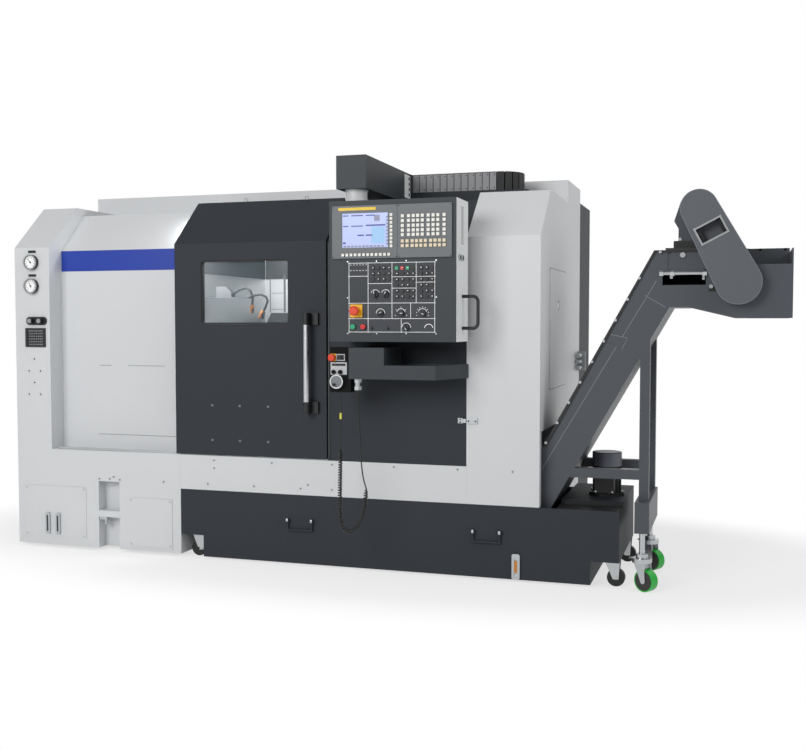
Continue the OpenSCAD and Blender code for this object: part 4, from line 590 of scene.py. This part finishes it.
# %% Band, seams and screws of the white covers
HOOD_Y = 100
join("blue_band", [box((199, HOOD_Y - 0.6, 1362), (886, HOOD_Y, 1463))], blue_film, "white_paint")
join("hood_seams", [box((x0, HOOD_Y - 0.3, z), (x1, HOOD_Y, z + 2))
                    for x0, x1, z in ((412, 476, 898), (570, 774, 898), (400, 880, 558))], seam_dark,
     "white_paint")
pegs("hood_screws", [(471, HOOD_Y - 1, 899), (766, HOOD_Y - 1, 899), (469, HOOD_Y - 1, 559)], 4, 2, *ZINC)
SILL_SCREWS = [(1087, 466), (1087, 430), (1382, 466), (1054, 355), (1291, 355), (1524, 355), (1560, 373),
               (1678, 470), (1971, 472), (2261, 473), (1677, 356), (2503, 473), (819, 353), (547, 365),
               (580, 352), (525, 354), (467, 352)]
pegs("cover_screws", [(x, -1, z) for x, z in SILL_SCREWS], 6, 2, *ZINC, sides=12)
pegs("cover_screw_sockets", [(x, -1.6, z) for x, z in SILL_SCREWS], 3, 1.2, *BLACK, sides=6)
CABINET_SCREWS = [(105, 930), (74, 871), (140, 871), (105, 814), (73, 756), (139, 756)]
pegs("cabinet_screw_heads", [(x, -0.5, z) for x, z in CABINET_SCREWS], 4, 1, *DARK)
# The two access panels as (x0, z0, x1, z1), with a screw in each corner.
ACCESS, INSET = [(38, 52, 391, 306), (630, 34, 865, 271)], 12
pegs("access_screws", [(x, -3.8, z) for x0, z0, x1, z1 in ACCESS for x in (x0 + INSET, x1 - INSET)
                       for z in (z0 + INSET, z1 - INSET)], 5, 1.6, *ZINC, sides=12)
print("cover screws", len(SILL_SCREWS) + len(CABINET_SCREWS))

# %% Instruments of the left cabinet
GAUGE_X, GAUGE_ZS, GAUGE_R = 102, (1404, 1288), 36
join("gauge_bezels", [hoop(GAUGE_X, z, GAUGE_R + 1, GAUGE_R - 5, -22, -19.5) for z in GAUGE_ZS], *ZINC,
     smooth=True)
join("gauge_faces", [prism(circle(GAUGE_X, z, 30.5), -15.6, -15) for z in GAUGE_ZS], white_print,
     "black_plastic")
FIRST_MARK, MARK_STEP, MARK_COUNT = 225, 27, 11
MARK = ((20, -0.9), (27, -0.9), (27, 0.9), (20, 0.9))
NEEDLE = ((-8, -1.6), (24, -0.5), (24, 0.5), (-8, 1.6))
marks, needles = [], []
for z, needle_at in zip(GAUGE_ZS, (130, 115)):
    marks += [hand(GAUGE_X, z, FIRST_MARK - MARK_STEP * i, MARK, -16.1, -15.7) for i in range(MARK_COUNT)]
    needles += [hand(GAUGE_X, z, needle_at, NEEDLE, -17.2, -16.6),
                prism(circle(GAUGE_X, z, 4, 16), -17.6, -16.4)]
join("gauge_marks", marks, *BLACK)
join("gauge_needles", needles, *BLACK)
join("gauge_plates", [box((GAUGE_X - 22, -1, z + 46), (GAUGE_X + 22, 0, z + 58)) for z in GAUGE_ZS], *BLACK)
REG_XS, REG_Z = (97, 151), 1117
pegs("regulator_caps", [(x, -25, REG_Z) for x in REG_XS], 11, 3, *ZINC, sides=24)
tiles("grille_blades", [(66 + 10.4 * i, -4.5, 1035) for i in range(11)], (2, 2.4, 86), *DARK)
SIGHT_XS = (175, 233)
join("sight_fills", [box((x - 4, -9, 82), (x + 4, -8.2, 161)) for x in SIGHT_XS], panel_film, "black_plastic")
print("gauges", len(GAUGE_ZS))

# %% [markdown]
# ## Door and fixed front panel
# The door is a folded charcoal sheet with screws that hold its inner stiffeners, two lifting eyes
# on its top edge, and a black rubber seal round the window.
# The panel beside it has a grey strip down its edge, a painted highlight for the light line that the edge
# catches, and a small silver catch joins it to the right cover.

# %% Door details
DOOR_SCREWS = [(x, z) for z in (724, 562) for x in (1081, 1222, 1365)]
pegs("door_screws", [(x, -1.2, z) for x, z in DOOR_SCREWS], 5.5, 2.4, worn_edge, "bright_steel", body="door")
# The opening for the window in the door.
WX0, WX1, WZ0, WZ1 = 1027, 1471, 1102, 1396


def soft_corners(x0, x1, z0, z1, r, sides=8):
    """A rectangle with round corners as (X, Z) points."""
    return [p for x, z, start in ((x1 - r, z1 - r, 0), (x0 + r, z1 - r, 90), (x0 + r, z0 + r, 180),
                                  (x1 - r, z0 + r, 270)) for p in circle(x, z, r, sides, start, 90)]


join("window_seal", [frame_band(soft_corners(WX0 + 0.5, WX1 - 0.5, WZ0 + 0.5, WZ1 - 0.5, 14.5),
                                soft_corners(WX0 + 7, WX1 - 7, WZ0 + 7, WZ1 - 7, 10), 3, 11.5)],
     black_rubber, "caster_rubber", body="door")
# A grey strip down the fixed panel's edge is a painted highlight: the light line along the edge.
join("edge_highlight_strip", [box((1656, 11.4, 492), (1661, 13.6, 1466))], seam_dark, "bright_steel")
join("side_catch", [box((2262, -4, 674), (2284, 0, 697)), box((2284, -9, 677), (2300, -1, 694)),
                    box((2300.5, -6, 673), (2350, 0, 697))], *ZINC, bevel=1.5)
pegs("catch_rivets", [(x, -6.6, 685) for x in (2310, 2341)] + [(2273, -4.6, z) for z in (679, 692)], 3.5, 1.6,
     *DARK)
EYE_Y, EYE_Z = 232, 1697
for k, x in enumerate((1148, 1463)):
    bpy.ops.mesh.primitive_torus_add(major_radius=0.008, minor_radius=0.002, major_segments=24,
                                     minor_segments=8)
    eye_bolt = bpy.context.object
    eye_bolt.name = f"lifting_eye_{k + 1}"
    upright = Matrix.Rotation(math.radians(90), 4, "X")
    eye_bolt.data.transform(Matrix.Translation(at(x, EYE_Y, EYE_Z)) @ upright)
    eye_bolt.data.materials.append(zinc)
    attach(eye_bolt, "door")
print("door screws", len(DOOR_SCREWS))

# %% [markdown]
# ## Control pendant
# The upper unit holds a pale blue screen and a keypad, the lower panel the switches of the machine.
# Key caps are tiles on the moulded keys of the solid, the printed frame is a set of thin white strips,
# and the screen is a plain glowing sheet with bars and blocks in place of its picture.

# %% Screen
glow, tree, out = blank("lit_screen_film")
glow_shader = add(tree, "ShaderNodeBsdfPrincipled", {"Base Color": linear("#9AA7DC"), "Roughness": 0.25,
                                                     "Emission Color": linear("#C9D4F7"),
                                                     "Emission Strength": 0.22})
tree.links.new(glow_shader.outputs[0], out.inputs[0])
screen_blue = finish("screen_blue", "#33399A", 0.4)
screen_pale = finish("screen_pale_blue", "#9CC8F2", 0.4)
screen_grey = finish("screen_grey", "#8C8FA8", 0.4)
# The unit's lower left corner, size and face, then the screen's corner and size as shares of it.
UNIT_X, UNIT_Z, UNIT_W, UNIT_H, UNIT_Y = 1775, 1376, 522, 220, -238
SX, SZ = UNIT_X + 0.085 * UNIT_W, UNIT_Z + 0.2 * UNIT_H
SW, SH = 0.39 * UNIT_W, 0.66 * UNIT_H


def on_screen(u0, v0, u1, v1, lift=0.2):
    """A flat block on the screen, in shares of its width and height from the lower left corner."""
    return box((SX + u0 * SW, UNIT_Y + 2.2 - lift, SZ + v0 * SH), (SX + u1 * SW, UNIT_Y + 2.2, SZ + v1 * SH))


join("screen_sheet", [box((SX + 1, UNIT_Y + 2.2, SZ + 1), (SX + SW - 1, UNIT_Y + 3, SZ + SH - 1))], glow,
     *ON_SCREEN)
join("screen_bars", [on_screen(*spot) for spot in (
    (0.02, 0.91, 0.14, 0.94), (0.2, 0.91, 0.46, 0.94), (0.52, 0.91, 0.72, 0.94), (0.02, 0.61, 0.14, 0.64),
    (0.2, 0.61, 0.46, 0.64), (0.52, 0.62, 0.94, 0.66), (0.34, 0.34, 0.48, 0.38), (0.52, 0.34, 0.66, 0.38),
    (0.02, 0.12, 0.08, 0.17))], screen_blue, *ON_SCREEN)
join("screen_fields", [on_screen(0.64, 0.12, 0.93, 0.6, 0.1)], screen_pale, *ON_SCREEN)
join("screen_blocks", [on_screen(0.7, 0.76, 0.82, 0.93, 0.15)]
     + [on_screen(0.955, 0.08 + 0.095 * i, 0.995, 0.13 + 0.095 * i) for i in range(9)]
     + [on_screen(0.03 + 0.082 * i, 0.02, 0.09 + 0.082 * i, 0.07) for i in range(11)], screen_grey, *ON_SCREEN)
join("screen_strip", [box((1804, UNIT_Y - 0.6, 1576), (1970, UNIT_Y, 1588))], yellow_film, *ON_SCREEN)
print("screen", round(SW), "by", round(SH), "mm")

# %% Keys of the screen unit
KEY = 10
CAP_Y = UNIT_Y - 3.6
SOFT_CAP, PAD_CAP = (11.5, 1.2, 11.5), (13, 1.2, 13)
soft_caps = [(SX + i * SW / 11 + KEY / 2, CAP_Y, UNIT_Z + 1.5 * KEY) for i in range(12)]
side_caps = [(SX + SW + 1.5 * KEY, CAP_Y, SZ + i * SH / 9 + KEY / 2) for i in range(9)]
PAD_COLS = (0.598, 0.649, 0.688, 0.724, 0.762, 0.81, 0.85, 0.888, 0.939)
PAD_ROWS = (0.777, 0.689, 0.597, 0.51, 0.428)
LOW_COLS = (0.598, 0.637, 0.679, 0.715, 0.75, 0.787, 0.83, 0.866, 0.902, 0.939)
LOW_ROWS = (0.309, 0.222)


def pad(cols, rows):
    """Places of key caps from their shares of the unit's width and height."""
    return [(UNIT_X + UNIT_W * c, CAP_Y, UNIT_Z + UNIT_H * r) for r in rows for c in cols]


tiles("soft_key_caps", soft_caps + side_caps, SOFT_CAP, cream_key, *ON_SCREEN)
tiles("cream_keys", pad(PAD_COLS, PAD_ROWS), PAD_CAP, cream_key, *ON_SCREEN)
tiles("beige_keys", pad(LOW_COLS, LOW_ROWS), PAD_CAP, beige_key, *ON_SCREEN)
pegs("screen_unit_screws", [(x, UNIT_Y - 0.4, z) for x in (UNIT_X + 5, 2060, 2072, UNIT_X + UNIT_W - 5)
                            for z in (UNIT_Z + 6, UNIT_Z + UNIT_H - 6)], 2.6, 1, *DARK, body="pendant")
print("key caps", len(soft_caps) + len(side_caps) + len(pad(PAD_COLS, PAD_ROWS)) + len(pad(LOW_COLS, LOW_ROWS)))

# %% Operator panel
# The panel's lower left corner, size and face.
OX, OZ, OW, OH, OY = 1845, 1066, 381, 294, -230
LINE = 1.9


def up(share):
    """Height on the operator panel, from a share measured from its top."""
    return OZ + OH * (1 - share)


def rise(share):
    """Height on the operator panel, from a share measured from its foot."""
    return OZ + OH * share


def across(share):
    """Place along the operator panel, from a share of its width."""
    return OX + OW * share


# The printed frame in shares of the panel: level lines (from, to, height), plumb lines (place, from, to).
LEVEL = [(0, 1, 0.01), (0, 1, 0.99), (0, 0.231, 0.197), (0.231, 0.507, 0.303), (0.507, 1, 0.21),
         (0.783, 1, 0.29), (0.507, 0.783, 0.371), (0, 1, 0.58), (0, 1, 0.80)]
PLUMB = [(0.008, 0, 1), (0.992, 0, 1), (0.231, 0, 1), (0.507, 0, 0.8), (0.783, 0, 0.58), (0.72, 0.58, 0.8),
         (0.613, 0.8, 1)]
join("panel_lines",
     [box((across(a), OY - 0.35, up(z) - LINE / 2), (across(b), OY, up(z) + LINE / 2)) for a, b, z in LEVEL]
     + [box((across(x) - LINE / 2, OY - 0.4, up(b)), (across(x) + LINE / 2, OY, up(a))) for x, a, b in PLUMB],
     white_print, *ON_PANEL)
join("blank_plate", [box((across(0.02), OY - 0.8, up(0.565)), (across(0.215), OY, up(0.215)))], pendant_coat,
     *ON_PANEL)
tiles("signal_lamps", [(across(0.03 + 0.036 * i), OY - 0.5, up(z)) for i in range(6) for z in (0.07, 0.15)],
      (7, 1, 5), *BLACK, body="pendant")
tiles("signal_marks", [(across(0.03 + 0.036 * i), OY - 0.3, up(z)) for i in range(6) for z in (0.035, 0.115)],
      (6, 0.6, 2), white_print, "black_plastic", body="pendant")
print("printed lines", len(LEVEL) + len(PLUMB))

# %% Keys of the operator panel
# Each field of keys: the shares of its lower left corner, its columns and its rows.
OP_KEY, OP_PITCH, OP_Y = 14, 23.6, -234.5
OP_CAP = (13.4, 1.4, 13.4)
GREEN_KEYS, RED_KEYS = ((1, 0, 5), (1, 2, 5)), ((1, 1, 5),)
fields = [(0.24 + 0.03, 0.731, 4, 3), (0.515 + 0.03, 0.485, 4, 6), (0.79 + 0.03, 0.485, 3, 6)]
op_keys = [(across(x) + i * OP_PITCH + OP_KEY / 2, OP_Y, rise(z) + k * OP_PITCH + OP_KEY / 2, f, i, k)
           for f, (x, z, cols, rows) in enumerate(fields) for i in range(cols) for k in range(rows)]
lit_green = [spot[:3] for spot in op_keys if spot[3:] in GREEN_KEYS]
lit_red = [spot[:3] for spot in op_keys if spot[3:] in RED_KEYS]
tiles("panel_keys", [spot[:3] for spot in op_keys if spot[3:] not in GREEN_KEYS + RED_KEYS], OP_CAP,
      *BLACK, body="pendant")
tiles("green_keys", lit_green, OP_CAP, start_green, "green_plastic", body="pendant")
tiles("red_keys", lit_red, OP_CAP, halt_red, "red_plastic", body="pendant")
tiles("key_marks", [(x + 1.5, OP_Y - 0.9, z + 1.5) for x, _, z, f, i, k in op_keys if (i + k + f) % 3],
      (4, 0.5, 3), white_print, "black_plastic", body="pendant")
print("panel keys", len(op_keys))

# %% Selectors, stop and panel screws
KNOBS = list(zip((0.315, 0.435, 0.375, 0.61, 0.855, 0.67), (0.545, 0.545, 0.275, 0.275, 0.275, 0.075)))
pegs("selector_collars", [(across(x), OY - 1.6, rise(z)) for x, z in KNOBS], 14.5, 3, *DARK, sides=28,
     body="pendant")
WIDE_SCALES = (2, 5)
PRINT_Y = OY - 0.4
DOT_RING = 26
arcs = []
for i, (x, z) in enumerate(KNOBS):
    start, sweep = (0, 180) if i in WIDE_SCALES else (20, 140)
    arcs.append(arc_band(across(x), rise(z), 18, 2.2, start, sweep, PRINT_Y, OY))
arcs.append(arc_band(across(0.925), rise(0.06), 17, 2.6, 10, 160, PRINT_Y, OY))
for x, z, count in ((0.61, 0.275, 5), (0.855, 0.275, 9)):
    for k in range(count):
        a = math.radians(200 - 220 * k / (count - 1))
        dot = circle(across(x) + DOT_RING * math.cos(a), rise(z) + DOT_RING * math.sin(a), 1.8, 10)
        arcs.append(prism(dot, PRINT_Y, OY))
join("selector_scales", arcs, white_print, *ON_PANEL)
POINTER = ((2, -1), (12, -1), (12, 1), (2, 1))
pointers = [hand(across(x), rise(z), 90 - 30 * i, POINTER, OY - 21.5, OY - 21)
            for i, (x, z) in enumerate(KNOBS)]
join("selector_pointers", pointers, white_print, *ON_PANEL)
STOP_X, STOP_Z, STOP_HALF = across(0.095), rise(0.31), 27.2
stop_outline = soft_corners(STOP_X - STOP_HALF, STOP_X + STOP_HALF, STOP_Z - STOP_HALF, STOP_Z + STOP_HALF, 3)
join("stop_plate", [frame_band(stop_outline, circle(STOP_X, STOP_Z, 12, 36), -233.8, -232.9)], stop_yellow,
     "red_plastic", body="pendant")
join("button_rings", [hoop(across(x), rise(0.085), 14.5, 11.4, -233, -230) for x in (0.055, 0.175)], *DARK,
     body="pendant", smooth=True)
pegs("panel_screws", [(across(x), OY - 0.8, up(z)) for x in (-0.008, 0.33, 0.67, 1.008)
                      for z in (-0.012, 1.012)] + [(across(x), OY - 0.8, up(0.5)) for x in (-0.008, 1.008)], 3,
     1.6, *ZINC, body="pendant")
print("selectors", len(KNOBS))

# %% Pendant side and arm
PENDANT_X, PENDANT_W = 1759, 555
SIDE_X = PENDANT_X + PENDANT_W
# A thin pale sheet over the pendant's right side is a painted highlight: the side is the pendant's grey paint,
# lightened where the light from the right falls on it.
join("pendant_side_highlight", [box((SIDE_X, -229, 1029), (SIDE_X + 0.6, -41, 1617))], painted_highlight_coat, *ON_PANEL)
join("pendant_vent", [box((SIDE_X, -166, 1425), (SIDE_X + 1.2, -112, 1594))], white_print, *ON_PANEL)
tiles("pendant_vent_slots", [(SIDE_X + 1.3, -139, 1434 + 8 * i) for i in range(20)], (0.8, 44, 3), seam_dark,
      *ON_PANEL)
pegs("side_sockets", [(SIDE_X + 4, y, 1375) for y in (-190, -145)], 13, 8, *ZINC, sides=20, turn=TO_RIGHT,
     body="pendant")
pegs("side_socket_bores", [(SIDE_X + 8.2, y, 1375) for y in (-190, -145)], 8, 1, *BLACK, turn=TO_RIGHT,
     body="pendant")
SLEEVE = [(0, 48), (10, 48), (11, 46), (46, 46), (47, 50), (52.8, 50)]
join("swivel_sleeve", [turned(SLEEVE, (1848, -135, 1619), (0, 0, 1), 48)], white_coat, "white_paint",
     body="arm", smooth=True)
# The arm's end plate is drawn pale as a painted highlight: it is a steel plate that looks bright where it
# reflects the light.
join("arm_end_plate", [box((1914.6, 330, 1694), (1916.2, 418, 1802))], painted_highlight_coat, "bright_steel", body="arm")
pegs("arm_end_holes", [(1916.6, 398, z) for z in (1712, 1737, 1762, 1787)], 8, 1, *BLACK, turn=TO_RIGHT,
     body="arm")
print("pendant side dressed")

# %% [markdown]
# ## Handset, conveyor, tank and casters
# The handset carries a red stop on a yellow plate, a key switch and a silver hand wheel with a grey face.
# The conveyor is bolted together from folded sheets, so bolts follow its black lid edge.
# Its take-up screw and nuts are silver; the drive shows through a framed window of the chain guard.
# The energy chain carries cables to the sliding arm; the grey faces and rivets of its front links ride with the
# arm.

# %% Handset
FACE_Y = -205
join("handset_plates", [box((1754, FACE_Y - 1, 887), (1828, FACE_Y, 940)),
                        box((1780, FACE_Y - 1, 946), (1819, FACE_Y, 975))], dial_grey, "black_plastic")
join("handset_stop_plate", [box((1753, FACE_Y - 1, 945), (1779, FACE_Y, 976))], stop_yellow, "red_plastic")
join("handset_stop", [turned([(0, 14.6), (22.2, 14.6), (23, 13), (23.2, 5)], (1763.7, FACE_Y, 959.8))],
     stop_red, "red_plastic")
join("handset_switch", [box((1784, FACE_Y - 3, 950), (1815, FACE_Y - 1, 971)),
                        box((1760, FACE_Y - 1.5, 924), (1822, FACE_Y - 1, 934)),
                        turned([(2, 8), (9, 7)], (1799, FACE_Y, 960))], *BLACK)
DIAL_X, DIAL_Z, DIAL_Y = 1788, 858, -227
join("dial_face", [turned([(0, 24), (1, 24)], (DIAL_X, DIAL_Y, DIAL_Z))], worn_edge, "aluminium",
     body="handset_dial")
join("dial_rim", [hoop(DIAL_X, DIAL_Z, 30, 25, DIAL_Y - 1.6, DIAL_Y)], satin_aluminium, "aluminium",
     body="handset_dial", smooth=True)
join("dial_knob", [turned([(0, 5), (10, 7), (16, 7), (18, 5)], (DIAL_X - 8, DIAL_Y, DIAL_Z - 13))], black_abs,
     "black_plastic", body="handset_dial", smooth=True)
join("cord_sleeve", [turned([(0, 4.4), (26, 4.4)], (1797, -200, 697), (0, 0, 1))], sleeve_yellow, "cord_rubber",
     smooth=True)
print("handset dressed")

# %% Window interior
HOSE_Y = 275
join("hose_bracket", [prism([(973, 1227), (1054, 1227), (1054, 1254), (1024, 1284), (973, 1284)], HOSE_Y - 21.2,
                            HOSE_Y - 20.2)], link_grey, "bright_steel")
join("hose_shelf", [box((890, HOSE_Y - 21, 1226), (1148, HOSE_Y - 20.2, 1233))], worn_edge, "bright_steel")
join("hose_nozzles", [turned([(-6, 9), (0, 12.6), (35, 6.6)], (x, HOSE_Y, z), lean)
                      for x, z, lean in ((1155, 1188, (-4, 0, -43)), (1212, 1160, (-13, 0, -21)))],
     nozzle_orange, "black_plastic", smooth=True)
# A black sheet high on the left wall and along the back wall is painted shade: it darkens the top of the work
# space seen through the window.
join("upper_painted_shade", [box((889.2, 120, 1350), (890, 990, 1450)), box((890, 999, 1350), (2240, 999.8, 1630))],
     black_abs, "black_plastic")
join("back_wall_strips", [box((x0, 998, 1166), (x1, 999, 1378)) for x0, x1 in ((914, 919), (998, 1010))]
     + [box((925, 998, z), (994, 999, z + 3)) for z in (1352, 1272, 1182)], seam_dark, "bright_steel")
join("way_cover", [prism([(895, 1102), (925, 1163), (1031, 1163), (1031, 1102)], 990, 998)], black_abs,
     "black_plastic")
print("interior dressed")

# %% Conveyor
CASE_Y, LID_Y = 70, 62
LID = [(2427, 230), (3076, 1405)]
SLOPE = (LID[1][1] - LID[0][1]) / (LID[1][0] - LID[0][0])
EDGE_X = 2620
edge_foot = LID[0][1] + (EDGE_X - LID[0][0]) * SLOPE
join("lid_edge", [prism([(EDGE_X, edge_foot), (EDGE_X + 14, edge_foot), (3081, 1399), (3217, 1399),
                         (3217, 1405), (3076, 1405)], LID_Y - 0.8, LID_Y)], black_abs, "conveyor_paint")
FIRST_BOLT, BOLTS_END, BOLT_PITCH = 596, 1300, 87
lid_bolts = [(LID[0][0] + (z - LID[0][1]) / SLOPE + 5, LID_Y - 3, z)
             for z in range(FIRST_BOLT, BOLTS_END, BOLT_PITCH)]
pegs("lid_bolts", lid_bolts + [(3101, LID_Y - 3, 1398)], 6, 5, *ZINC, sides=8)
pegs("hopper_bolts", [(x, 448, 1424) for x in (3495, 3598)], 6, 6, *ZINC, sides=8)
join("head_flange", [prism([(3120, 1413), (3246, 1413), (3246, 1398), (3140, 1398), (3129, 1390)], CASE_Y - 10,
                           CASE_Y - 1), box((3131, CASE_Y - 0.8, 1312), (3133, CASE_Y, 1392))], black_abs,
     "conveyor_paint")
pegs("head_bolt", [(3190, CASE_Y - 4, 1384)], 12, 8, *ZINC, sides=6)
SCREW_Y, SCREW_Z = 70, 1310
join("take_up_screw", [turned([(0, 8.4), (176, 8.4)], (3108, SCREW_Y, SCREW_Z), (1, 0, 0))]
     + [turned([(0, 15), (16, 15)], (x, SCREW_Y, SCREW_Z), (1, 0, 0), 6) for x in (3098, 3142, 3270)], *ZINC)
join("take_up_blocks", [box((3140, CASE_Y - 6, 1288), (3152, CASE_Y - 1, 1306)),
                        box((3268, CASE_Y - 6, 1282), (3278, CASE_Y - 1, 1304))], *ZINC, bevel=1)
pegs("case_bolt", [(3303, CASE_Y - 6, 1255)], 9, 12, *ZINC, sides=6)
join("case_bolt_seat", [box((3294, CASE_Y - 1, 1234), (3322, CASE_Y, 1256))], *BLACK)
print("conveyor bolts", len(lid_bolts))

# %% Conveyor seams and chain guard
def strip(a, b, width, y0, y1):
    """A thin straight strip between two (X, Z) points."""
    run = Vector((b[0] - a[0], b[1] - a[1])).normalized() * width / 2
    return prism([(a[0] - run.y, a[1] + run.x), (b[0] - run.y, b[1] + run.x), (b[0] + run.y, b[1] - run.x),
                  (a[0] + run.y, a[1] - run.x)], y0, y1)


SEAMS = [((2598, 450), (3086, 1280)), ((3040, 1221), (3122, 1172))]
PATCH = [(2899, 1060), (2973, 1044), (2948, 996), (2890, 1030)]
join("case_seams", [strip(a, b, 3, CASE_Y - 0.5, CASE_Y) for a, b in SEAMS], worn_edge, "conveyor_paint")
join("patch_plate", [prism(PATCH, CASE_Y - 2, CASE_Y)], conveyor_coat, "conveyor_paint", bevel=0.8)
join("patch_edge", [strip(PATCH[0], PATCH[1], 3, CASE_Y - 2.4, CASE_Y - 2),
                    strip(PATCH[1], PATCH[2], 3, CASE_Y - 2.4, CASE_Y - 2)], worn_edge, "conveyor_paint")
# The guard leans back from its foot sprocket to its head sprocket.
GUARD_Y = 14
LEAN_DEGREES = 27.6
LEAN = math.radians(LEAN_DEGREES)
ARC_SIDES = 40
GUARD_UP = Vector((-math.sin(LEAN), math.cos(LEAN)))
GUARD_SIDE = Vector((math.cos(LEAN), math.sin(LEAN)))
FOOT, HEAD = Vector((3409, 1271)), Vector((3253.3, 1568.8))
WINDOW_SHARE = 0.69
MIDDLE = FOOT + (HEAD - FOOT) * WINDOW_SHARE


def turned_rect(w, h):
    """Corners of a rectangle about the guard's window, leaning with the guard."""
    return [tuple(MIDDLE + GUARD_SIDE * i * w / 2 + GUARD_UP * k * h / 2)
            for i, k in ((-1, -1), (1, -1), (1, 1), (-1, 1))]


def guard_outline(foot_r, head_r):
    """Outline of the guard: an arc round each sprocket, joined by straight flanks."""
    return (circle(FOOT.x, FOOT.y, foot_r, ARC_SIDES, 180 + LEAN_DEGREES, 183)
            + circle(HEAD.x, HEAD.y, head_r, ARC_SIDES, LEAN_DEGREES, 180))


join("window_frame", [frame_band(turned_rect(119, 76), turned_rect(104, 61), GUARD_Y - 2, GUARD_Y)], *ZINC,
     bevel=0.6)
pegs("window_bolts", [(x, GUARD_Y - 3, z) for x, z in turned_rect(112, 69)], 5, 3, *ZINC, sides=8)
join("guard_rim", [frame_band(guard_outline(90.6, 74.6), guard_outline(88, 72), GUARD_Y - 0.5, GUARD_Y)],
     worn_edge, "conveyor_paint")
join("gear_base", [box((3150, 118.6, 1405.5), (3292, 120, 1445.5))], black_abs, "conveyor_paint")
pegs("gear_bolts", [(x, 117, 1452) for x in (3176, 3266)], 7, 5, *ZINC, sides=6)
print("guard dressed")

# %% Tank, pump and side panel
# Black sheets on the floor and back of the tank's recess are painted shade: the recess is charcoal paint, drawn
# black where shade falls in it.
join("tank_recess_shade", [box((2690, 5, 325), (2952, 129.5, 325.8)), box((2690, 129, 325.8), (2952, 129.8, 344))],
     black_key, "charcoal_paint")
join("drop_handle_ends", [box((x + s * 59 - 5, -17, 203), (x + s * 59 + 5, -1, 216.4)) for x in (1521, 2390)
                          for s in (-1, 1)], *ZINC, bevel=1.5)
join("oil_fill", [box((2513, -11.2, 42), (2527, -10, 92))], amber_oil, "black_plastic")
PUMP, PUMP_BOLT_R = (2862, 330), 70
join("pump_cap", [turned([(0, 64.6), (57, 64.6), (61, 61), (61.4, 12)], (*PUMP, 475), (0, 0, 1), 40)],
     slate_coat, "black_plastic", smooth=True)
pegs("pump_bolts", [(PUMP[0] + PUMP_BOLT_R * math.cos(a), PUMP[1] + PUMP_BOLT_R * math.sin(a), 362)
                    for a in (math.radians(45 + 60 * i) for i in range(6))], 6, 8, *ZINC, sides=6, turn=UPRIGHT)
pegs("box_screws", [(PUMP[0] + i * 36, 224, z) for i in (-1, 1) for z in (371, 435)], 4, 3, *ZINC)
HATCH_X = 2618
join("hatch_slots", [box((HATCH_X, 229, z - 4), (HATCH_X + 0.6, 664, z + 4)) for z in (1346, 815)], *BLACK)
join("hatch_lines", [box((HATCH_X, y - 1.5, 824), (HATCH_X + 0.6, y + 1.5, 1338)) for y in (228, 665)],
     white_print, "white_paint")
join("hatch_latch", [box((HATCH_X, 430, 1176), (HATCH_X + 1.4, 462, 1224))], *ZINC, bevel=0.6)
join("hatch_latch_recess", [box((HATCH_X + 1.4, 434, 1200), (HATCH_X + 2, 458, 1220))], *BLACK)
join("drain_tap", [box((465, 2, 154), (505, 24, 166)), turned([(0, 7), (24, 7)], (492, 14, 154), (0, 0, -1)),
                   turned([(0, 4), (22, 4)], (482, 12, 134), (1, 0, 0))], *ZINC)
print("tank and side dressed")

# %% Casters and energy chain
# The axles of the conveyor's casters lie 57 degrees off the machine's length at rest.
AXLE = Vector((0.54464, 0.83867, 0))
for name, y in (("front", 8.02), ("rear", 413.02)):
    hub = (3062.45, y, 46)
    join(name + "_hub_discs", [turned([(18.7, 41), (19.4, 41)], hub, way) for way in (AXLE, -AXLE)], hub_black,
         "black_plastic", body=name + "_caster_wheel")
tank_forks = [(x, y) for x in (976, 2921) for y in (67, 553)]
join("tank_caster_forks", [prism([(x - 31, 109), (x + 31, 109), (x + 26, 31), (x + 2, 31)], y - 20.9, y - 20.1)
                           for x, y in tank_forks], *ZINC)
pegs("tank_axles", [(x + 14, y - 22, 37.5) for x, y in tank_forks], 7, 4, *ZINC, sides=6)
CHAIN_FRONT, CHAIN_NEAR, CHAIN_FAR = 434, 490, 594
CHAIN_Z = 1766
FIRST_LINK, LINK_PITCH, LINK_COUNT = 1939, 34, 12
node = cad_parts["energy_chain"]
chain_mesh = node.data.copy()
chain_mesh.transform(node.matrix_world)
chain_mesh.materials.clear()
chain_mesh.materials.append(black_abs)
chain_run = bpy.data.objects.new("energy_chain_run", chain_mesh)
scene.collection.objects.link(chain_run)
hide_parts("energy_chain")
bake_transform(chain_run)
links = [FIRST_LINK + LINK_PITCH * i for i in range(LINK_COUNT)]
tiles("link_faces", [(x, CHAIN_FRONT - 0.5, CHAIN_Z) for x in links], (30, 1, 80), link_grey, "black_plastic",
      body="arm")
pegs("link_rivets", [(x + 8, CHAIN_FRONT - 1.2, CHAIN_Z + k) for x in links for k in (-30, 30)], 3, 1, *BLACK,
     body="arm")
print("casters and chain dressed")
